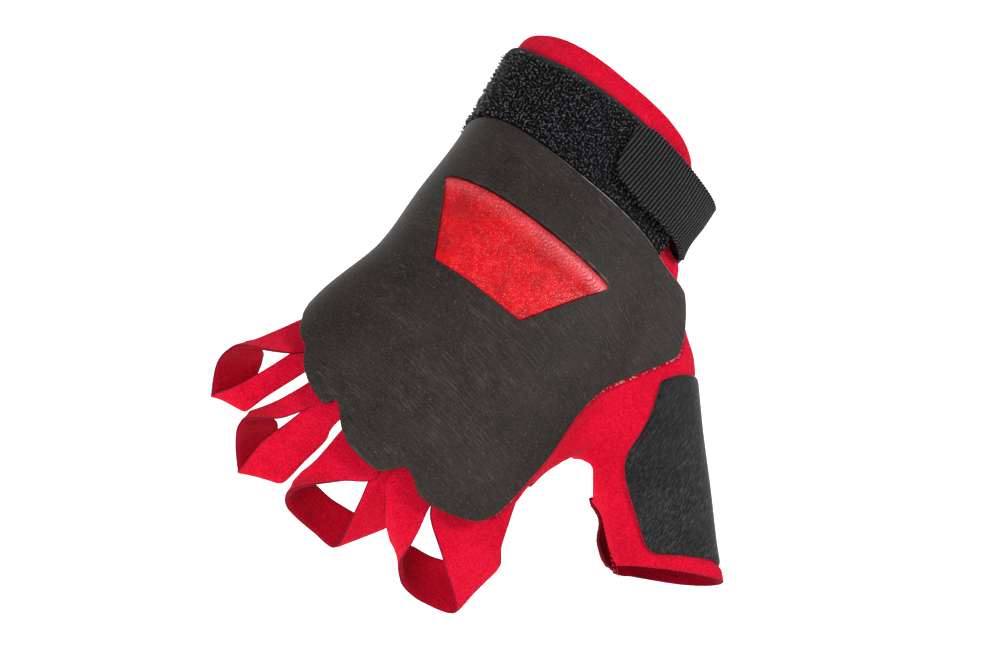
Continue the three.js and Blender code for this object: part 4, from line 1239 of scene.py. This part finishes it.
class Look:
    """Builds one node material, whose colour is painted on in layers."""

    def __init__(self, name):
        self.material = bpy.data.materials.new(name)
        self.material.use_nodes = True
        self.tree = self.material.node_tree
        self.tree.nodes.clear()
        self.shader = self.add("ShaderNodeBsdfPrincipled")
        output = self.add("ShaderNodeOutputMaterial")
        self.tree.links.new(self.shader.outputs[0], output.inputs[0])
        self.place = self.add("ShaderNodeTexCoord").outputs["Object"]

    def add(self, kind, **settings):
        made = self.tree.nodes.new(kind)
        for key, value in settings.items():
            setattr(made, key, value)
        return made

    def put(self, socket, value):
        if isinstance(value, bpy.types.NodeSocket):
            self.tree.links.new(value, socket)
        else:
            socket.default_value = value

    def fill(self, node, **values):
        """Sets a node's inputs by their names, with _ for a space."""
        for key, value in values.items():
            self.put(node.inputs[key.replace("_", " ")], value)

    def attribute(self, name):
        return self.add("ShaderNodeAttribute", attribute_name=name).outputs["Fac"]

    def noise(self, size, detail=2.0, roughness=0.5, place=None):
        """Noise that varies over lengths of size millimetres."""
        made = self.add("ShaderNodeTexNoise")
        self.fill(
            made, Vector=place or self.place, Scale=1 / (size * MM), Detail=detail, Roughness=roughness
        )
        return made.outputs["Fac"]

    def stretched(self, angle, scale):
        """The object's coordinates turned about Z, then scaled along the turned axes."""
        turn = self.add("ShaderNodeVectorRotate", rotation_type="Z_AXIS")
        self.fill(turn, Vector=self.place, Angle=angle)
        made = self.add("ShaderNodeVectorMath", operation="MULTIPLY")
        self.put(made.inputs[0], turn.outputs[0])
        self.put(made.inputs[1], scale)
        return made.outputs[0]

    def math(self, operation, a, b=0.0):
        made = self.add("ShaderNodeMath", operation=operation)
        self.put(made.inputs[0], a)
        self.put(made.inputs[1], b)
        return made.outputs[0]

    def times(self, a, b):
        return self.math("MULTIPLY", a, b)

    def plus(self, a, b):
        return self.math("ADD", a, b)

    def fit(self, value, low, high, to_low=0.0, to_high=1.0, smooth=True):
        made = self.add(
            "ShaderNodeMapRange", interpolation_type="SMOOTHSTEP" if smooth else "LINEAR"
        )
        self.fill(made, Value=value, From_Min=low, From_Max=high, To_Min=to_low, To_Max=to_high)
        return made.outputs[0]

    def mix(self, share, a, b):
        made = self.add("ShaderNodeMix", data_type="RGBA")
        self.put(made.inputs["Factor"], share)
        self.put(made.inputs["A"], a if isinstance(a, bpy.types.NodeSocket) else (*a, 1))
        self.put(made.inputs["B"], b if isinstance(b, bpy.types.NodeSocket) else (*b, 1))
        return made.outputs["Result"]

    def paint(self, share, colour, strength=None):
        """Lays a colour over the colour so far, where share is high."""
        share = share if strength is None else self.times(share, strength)
        self.colour = self.mix(share, self.colour, colour)

    def relief(self, *layers):
        """Bumps, one over the other: for each its height, its depth in millimetres and its strength."""
        normal = None
        for height, depth, strength in layers:
            made = self.add("ShaderNodeBump")
            self.fill(made, Height=height, Distance=depth * MM, Strength=strength)
            if normal is not None:
                self.put(made.inputs["Normal"], normal)
            normal = made.outputs[0]
        self.fill(self.shader, Normal=normal)

    def finished(self, **values):
        self.fill(self.shader, Base_Color=self.colour, **values)
        return self.material


def suede_look():
    look = Look("red_suede")
    cloud = look.fit(look.noise(13, 3), 0.35, 0.65)
    blotch = look.fit(look.noise(1.6, 3, 0.6), 0.3, 0.7)
    fuzz = look.noise(0.55, 3, 0.75)
    nap = look.fit(fuzz, 0.32, 0.68)
    mottle = look.plus(look.times(cloud, 0.45), look.times(blotch, 0.55))
    deep = look.mix(nap, (0.46, 0.0012, 0.015), (0.74, 0.0060, 0.034))
    bright = look.mix(nap, (0.60, 0.0025, 0.022), (0.90, 0.0120, 0.050))
    # inner face: the suede's own darker tone, deepened by painted shade
    inner = look.mix(nap, (0.15, 0.0005, 0.005), (0.30, 0.002, 0.013))
    look.colour = look.mix(look.attribute("inside"), look.mix(mottle, deep, bright), inner)
    from_rim = look.plus(look.attribute("edge"), look.fit(fuzz, 0.3, 0.7, -0.05, 0.05))
    look.paint(look.fit(from_rim, 0.02, 0.18, 1.0, 0.0), (0.09, 0.010, 0.022), 0.75)
    past_rubber = look.attribute("shade_and_glue")
    # painted shade: the suede is darkened within about 1.3 mm outside the rubber's edge
    look.paint(look.fit(past_rubber, 0.0, 1.3, 0.6, 0.0), (0.26, 0.0006, 0.008))
    specks = look.fit(look.noise(1.1, 3, 0.7), 0.53, 0.60)
    look.paint(look.times(look.fit(past_rubber, 0.05, 0.36, 1.0, 0.0), specks), (0.62, 0.24, 0.21))
    look.relief((fuzz, 0.36, 0.9), (blotch, 0.2, 0.7))
    return look.finished(
        Roughness=0.95, Specular_IOR_Level=0.03,
        Sheen_Weight=0.10, Sheen_Roughness=0.45, Sheen_Tint=(1.0, 0.25, 0.32, 1),
    )


STREAK_ANGLE = math.radians(4.9)   # the grinding marks run nearly across the hand


def rubber_look():
    look = Look("back_rubber")
    along_streaks = look.stretched(STREAK_ANGLE, (0.04, 1.0, 0.12))
    streak = look.noise(0.24, 2, 0.6, place=along_streaks)
    broad_streak = look.noise(1.6, 2, 0.5, place=along_streaks)
    cloud = look.fit(look.noise(17, 3), 0.35, 0.65)
    blotch = look.fit(look.noise(5, 3), 0.35, 0.7)
    grain = look.noise(0.42, 3, 0.75)
    speck = look.fit(look.noise(0.6, 2, 0.6), 0.64, 0.72)
    wear_and_glints = look.fit(look.fit(look.noise(24, 2), 0.38, 0.62), 0, 1, 0.3, 1.0)
    rim_breakup = look.fit(look.noise(3, 2), 0.35, 0.6, 0.2, 0.95)
    rim = look.times(look.fit(look.attribute("edge"), 0.12, 0.4, 1.0, 0.0), look.attribute("pale"))
    look.colour = look.mix(cloud, (0.0100, 0.0076, 0.0067), (0.020, 0.0153, 0.0133))
    look.paint(blotch, (0.025, 0.018, 0.0145), 0.5)
    look.paint(look.fit(grain, 0.42, 0.68, 0.0, 0.8), (0.050, 0.040, 0.036))
    look.paint(look.times(look.fit(streak, 0.52, 0.68), wear_and_glints), (0.085, 0.073, 0.066), 0.6)
    look.paint(speck, (0.15, 0.13, 0.115), 0.55)
    # painted pale along the rim: the cut edge's own tone and painted highlight, broken up by noise
    look.paint(look.times(rim, rim_breakup), (0.62, 0.58, 0.56))
    look.relief((grain, 0.10, 0.8), (look.times(streak, wear_and_glints), 0.14, 0.9), (broad_streak, 0.10, 0.5))
    return look.finished(Roughness=look.fit(grain, 0.3, 0.7, 0.48, 0.62), Specular_IOR_Level=0.14)


PORE_SIZE = 0.95


def leather_look():
    look = Look("glossy_leather")
    cloud = look.fit(look.noise(7, 3), 0.35, 0.62)
    pores = look.add("ShaderNodeTexVoronoi", feature="DISTANCE_TO_EDGE")
    look.fill(pores, Vector=look.place, Scale=1 / (PORE_SIZE * MM))
    pebble = look.fit(pores.outputs["Distance"], 0.0, 0.22)
    fine = look.noise(0.35, 3, 0.7)
    lump = look.noise(1.6, 3, 0.6)
    share = look.plus(look.times(cloud, 0.65), look.fit(lump, 0.3, 0.7, 0.0, 0.35))
    patchy = look.fit(look.noise(4, 3, 0.6), 0.42, 0.66)
    tops = look.times(look.fit(pebble, 0.5, 1), look.fit(fine, 0.42, 0.6))
    # stretched holds the painted highlight along the fold
    stretched = look.attribute("light")
    # painted glints on the pebbles' tops, along the fold and in patches elsewhere
    wear_and_glints = look.times(tops, look.math("MAXIMUM", stretched, look.times(patchy, 0.22)))
    look.colour = look.mix(share, (0.44, 0.0010, 0.005), (0.86, 0.003, 0.010))
    # painted shade in the creases between the pebbles
    look.paint(look.fit(pebble, 0, 1, 0.45, 0), (0.40, 0.001, 0.006))
    # painted highlight over the fold
    look.paint(look.math("POWER", stretched, 2.0), (0.92, 0.20, 0.23), 0.8)
    look.paint(wear_and_glints, (0.95, 0.34, 0.37), 0.85)
    # painted shade in the wrinkles' troughs
    look.paint(look.fit(look.attribute("wrinkle"), -0.6, 0.0, 0.75, 0.0), (0.50, 0.006, 0.014))
    # painted shade where the leather lies deep, beside the fold and in the dimple
    look.paint(look.attribute("deep"), (0.42, 0.0005, 0.008), 0.7)
    look.relief((pebble, 0.10, 0.8), (lump, 0.26, 0.8), (fine, 0.07, 0.8))
    return look.finished(Roughness=look.fit(fine, 0.3, 0.7, 0.20, 0.34), Specular_IOR_Level=0.27)


HATCH_ANGLE = math.radians(81.7)   # the fine lines run nearly along the hand


def patch_look():
    look = Look("thumb_rubber")
    hatch = look.noise(0.26, 2, 0.6, place=look.stretched(HATCH_ANGLE, (0.10, 1.0, 0.35)))
    grain = look.noise(0.4, 3, 0.75)
    cloud = look.fit(look.noise(9, 2), 0.35, 0.65)
    wear_and_glints = look.fit(look.noise(15, 2), 0.40, 0.60, 0.5, 1.0)
    look.colour = look.mix(cloud, (0.0035, 0.003, 0.0035), (0.0085, 0.0076, 0.008))
    look.paint(look.fit(grain, 0.42, 0.68, 0.0, 0.6), (0.042, 0.040, 0.041))
    look.paint(look.times(look.fit(hatch, 0.45, 0.72), wear_and_glints), (0.082, 0.078, 0.080), 0.85)
    look.paint(look.fit(look.attribute("edge"), 0.04, 0.2, 0.45, 0.0), (0.14, 0.11, 0.12))
    look.relief((hatch, 0.26, 0.9), (grain, 0.12, 0.8))
    return look.finished(Roughness=look.fit(grain, 0.3, 0.7, 0.46, 0.62), Specular_IOR_Level=0.13)


SELVEDGE_PITCH = 0.62


def tape_look():
    look = Look("loop_tape_base")
    lump = look.noise(0.8, 2, 0.6)
    selvedge = look.attribute("selvedge")
    thread = look.math("SINE", look.times(look.attribute("along"), 2 * math.pi / SELVEDGE_PITCH))
    woven = look.mix(look.fit(thread, -1, 1), (0.001, 0.001, 0.0015), (0.060, 0.058, 0.064))
    look.colour = look.mix(look.fit(lump, 0.35, 0.7), (0.0008, 0.0008, 0.001), (0.004, 0.004, 0.0055))
    look.paint(selvedge, woven)
    look.relief((lump, 0.4, 0.8), (look.times(thread, selvedge), 0.12, 0.9))
    return look.finished(Roughness=0.75, Specular_IOR_Level=0.15)


def pile_look():
    """Black thread, painted grey towards the hooks' tips as highlight, with single red fibres."""
    look = Look("loop_tape_thread")
    shade = look.attribute("shade")
    # grey where the shade value is high: painted highlight
    look.colour = look.mix(look.fit(shade, 0.1, 0.85), (0.002, 0.002, 0.003), (0.14, 0.14, 0.165))
    look.paint(look.fit(shade, 0.9965, 0.997, smooth=False), (0.45, 0.01, 0.05))
    return look.finished(Roughness=0.28, Specular_IOR_Level=0.65)


TWIST_PITCH = 0.78


def strap_look():
    look = Look("strap_webbing")
    along = look.attribute("along")
    wave = look.times(look.attribute("across"), 2 * math.pi / TWIST_PITCH)
    twist = look.math("SINE", look.plus(wave, look.times(along, math.pi / RIB_PITCH)))
    crest = look.math("COSINE", look.times(along, 2 * math.pi / RIB_PITCH))
    fibre = look.noise(0.28, 3, 0.7)
    look.colour = look.mix(look.fit(fibre, 0.35, 0.7), (0.045, 0.042, 0.044), (0.15, 0.142, 0.147))
    look.paint(look.fit(twist, -1, 0.3, 0.85, 0.0), (0.003, 0.003, 0.0035))
    # painted shade in the valleys between the ribs
    look.paint(look.fit(crest, -0.5, 0.7, 1.0, 0.0), (0.0006, 0.0006, 0.0008))
    look.relief((twist, 0.18, 0.9), (fibre, 0.08, 0.8))
    return look.finished(Roughness=0.65, Specular_IOR_Level=0.2)


def stitch_look():
    look = Look("seam_thread")
    twist = look.noise(0.3, 2, 0.6)
    look.colour = look.mix(look.fit(twist, 0.3, 0.7), (0.45, 0.006, 0.012), (0.80, 0.03, 0.035))
    look.relief((twist, 0.08, 0.8))
    return look.finished(Roughness=0.6, Specular_IOR_Level=0.3)


# Materials, bodies and what each piece stands for

suede, thread = suede_look(), pile_look()
for piece, material, slot, nodes in (
    (body, suede, "red_suede", ["glove_body"]),
    (rubber, rubber_look(), "back_rubber", ["rubber_back_panel"]),
    (leather, leather_look(), "glossy_leather", ["window_leather"]),
    (patch, patch_look(), "thumb_rubber", ["thumb_rubber_patch"]),
    (tape, tape_look(), "loop_tape", ["wrist_loop_tape"]),
    (strap, strap_look(), "strap_webbing", ["wrist_strap"]),
    (piles[0], thread, "loop_tape", []),
    (piles[1], thread, "loop_tape", []),
    (stitches, stitch_look(), "red_suede", []),
    *((loops[name], suede, "red_suede", [f"finger_loop_{name}"]) for name in loops),
):
    piece.data.materials.append(material)
    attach(piece, "root")
    if nodes:
        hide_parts(*nodes)

# Camera, floor and light

AZIMUTH, ELEVATION, ROLL = math.radians(3), math.radians(62), math.radians(36)
LENS, SENSOR = 100, 36
IMAGE = (1000, 667)
PIXELS_PER_MM = 3.2
ORIGIN_PIXEL = (560, 215)          # where the part's origin is seen

back = np.array([
    math.sin(AZIMUTH) * math.cos(ELEVATION), -math.cos(AZIMUTH) * math.cos(ELEVATION), math.sin(ELEVATION),
])
level = np.array([math.cos(AZIMUTH), math.sin(AZIMUTH), 0])
rise = np.cross(back, level)
right = level * math.cos(ROLL) + rise * math.sin(ROLL)
up = -level * math.sin(ROLL) + rise * math.cos(ROLL)
camera_distance = LENS / SENSOR * IMAGE[0] / PIXELS_PER_MM
target = (
    right * (IMAGE[0] / 2 - ORIGIN_PIXEL[0]) / PIXELS_PER_MM
    - up * (IMAGE[1] / 2 - ORIGIN_PIXEL[1]) / PIXELS_PER_MM
)
camera = bpy.data.objects.new("camera", bpy.data.cameras.new("camera"))
camera.data.lens = LENS
camera.data.sensor_width = SENSOR
camera.data.clip_start = 0.01
camera.data.clip_end = 50
axes = Matrix(np.column_stack([right, up, back]).tolist()).to_4x4()
camera.matrix_world = Matrix.Translation(Vector((target + back * camera_distance) * MM)) @ axes
bpy.context.scene.collection.objects.link(camera)
bpy.context.scene.camera = camera

FLOOR_Z, FLOOR_HALF = -0.32, 8     # in metres
floor_mesh = bpy.data.meshes.new("floor")
floor_mesh.from_pydata(
    [(x * FLOOR_HALF, y * FLOOR_HALF, FLOOR_Z) for x, y in ((-1, -1), (1, -1), (1, 1), (-1, 1))],
    [], [(0, 1, 2, 3)],
)
floor = bpy.data.objects.new("floor", floor_mesh)
bpy.context.scene.collection.objects.link(floor)
floor_look = Look("floor")
floor_look.colour = (0.9, 0.9, 0.9, 1)
floor_mesh.materials.append(floor_look.finished(
    Roughness=1.0, Specular_IOR_Level=0.0, Emission_Color=(1.0, 1.0, 1.0, 1), Emission_Strength=0.8,
))

LIT_POINT = Vector((0.02, -0.04, 0.0))
SKY_STRENGTH = 0.32


def soft_light(name, direction, distance_m, size, power):
    """An area light that looks at the glove from a direction given as right, up and towards the camera."""
    light = bpy.data.lights.new(name, "AREA")
    light.shape = "SQUARE"
    light.size = size
    light.energy = power
    lamp = bpy.data.objects.new(name, light)
    way = Vector(unit(right * direction[0] + up * direction[1] + back * direction[2]))
    lamp.location = LIT_POINT + way * distance_m
    lamp.rotation_euler = (-way).to_track_quat("-Z", "Y").to_euler()
    bpy.context.scene.collection.objects.link(lamp)


soft_light("key", (-0.30, -0.15, 0.95), distance_m=1.3, size=0.7, power=13)
soft_light("side", (0.87, 0.36, 0.39), distance_m=0.9, size=0.3, power=5.0)

world = bpy.data.worlds.new("studio")
world.use_nodes = True
sky = world.node_tree.nodes["Background"]
sky.inputs["Color"].default_value = (1, 1, 1, 1)
sky.inputs["Strength"].default_value = SKY_STRENGTH
bpy.context.scene.world = world
bpy.context.scene.view_settings.view_transform = "Standard"
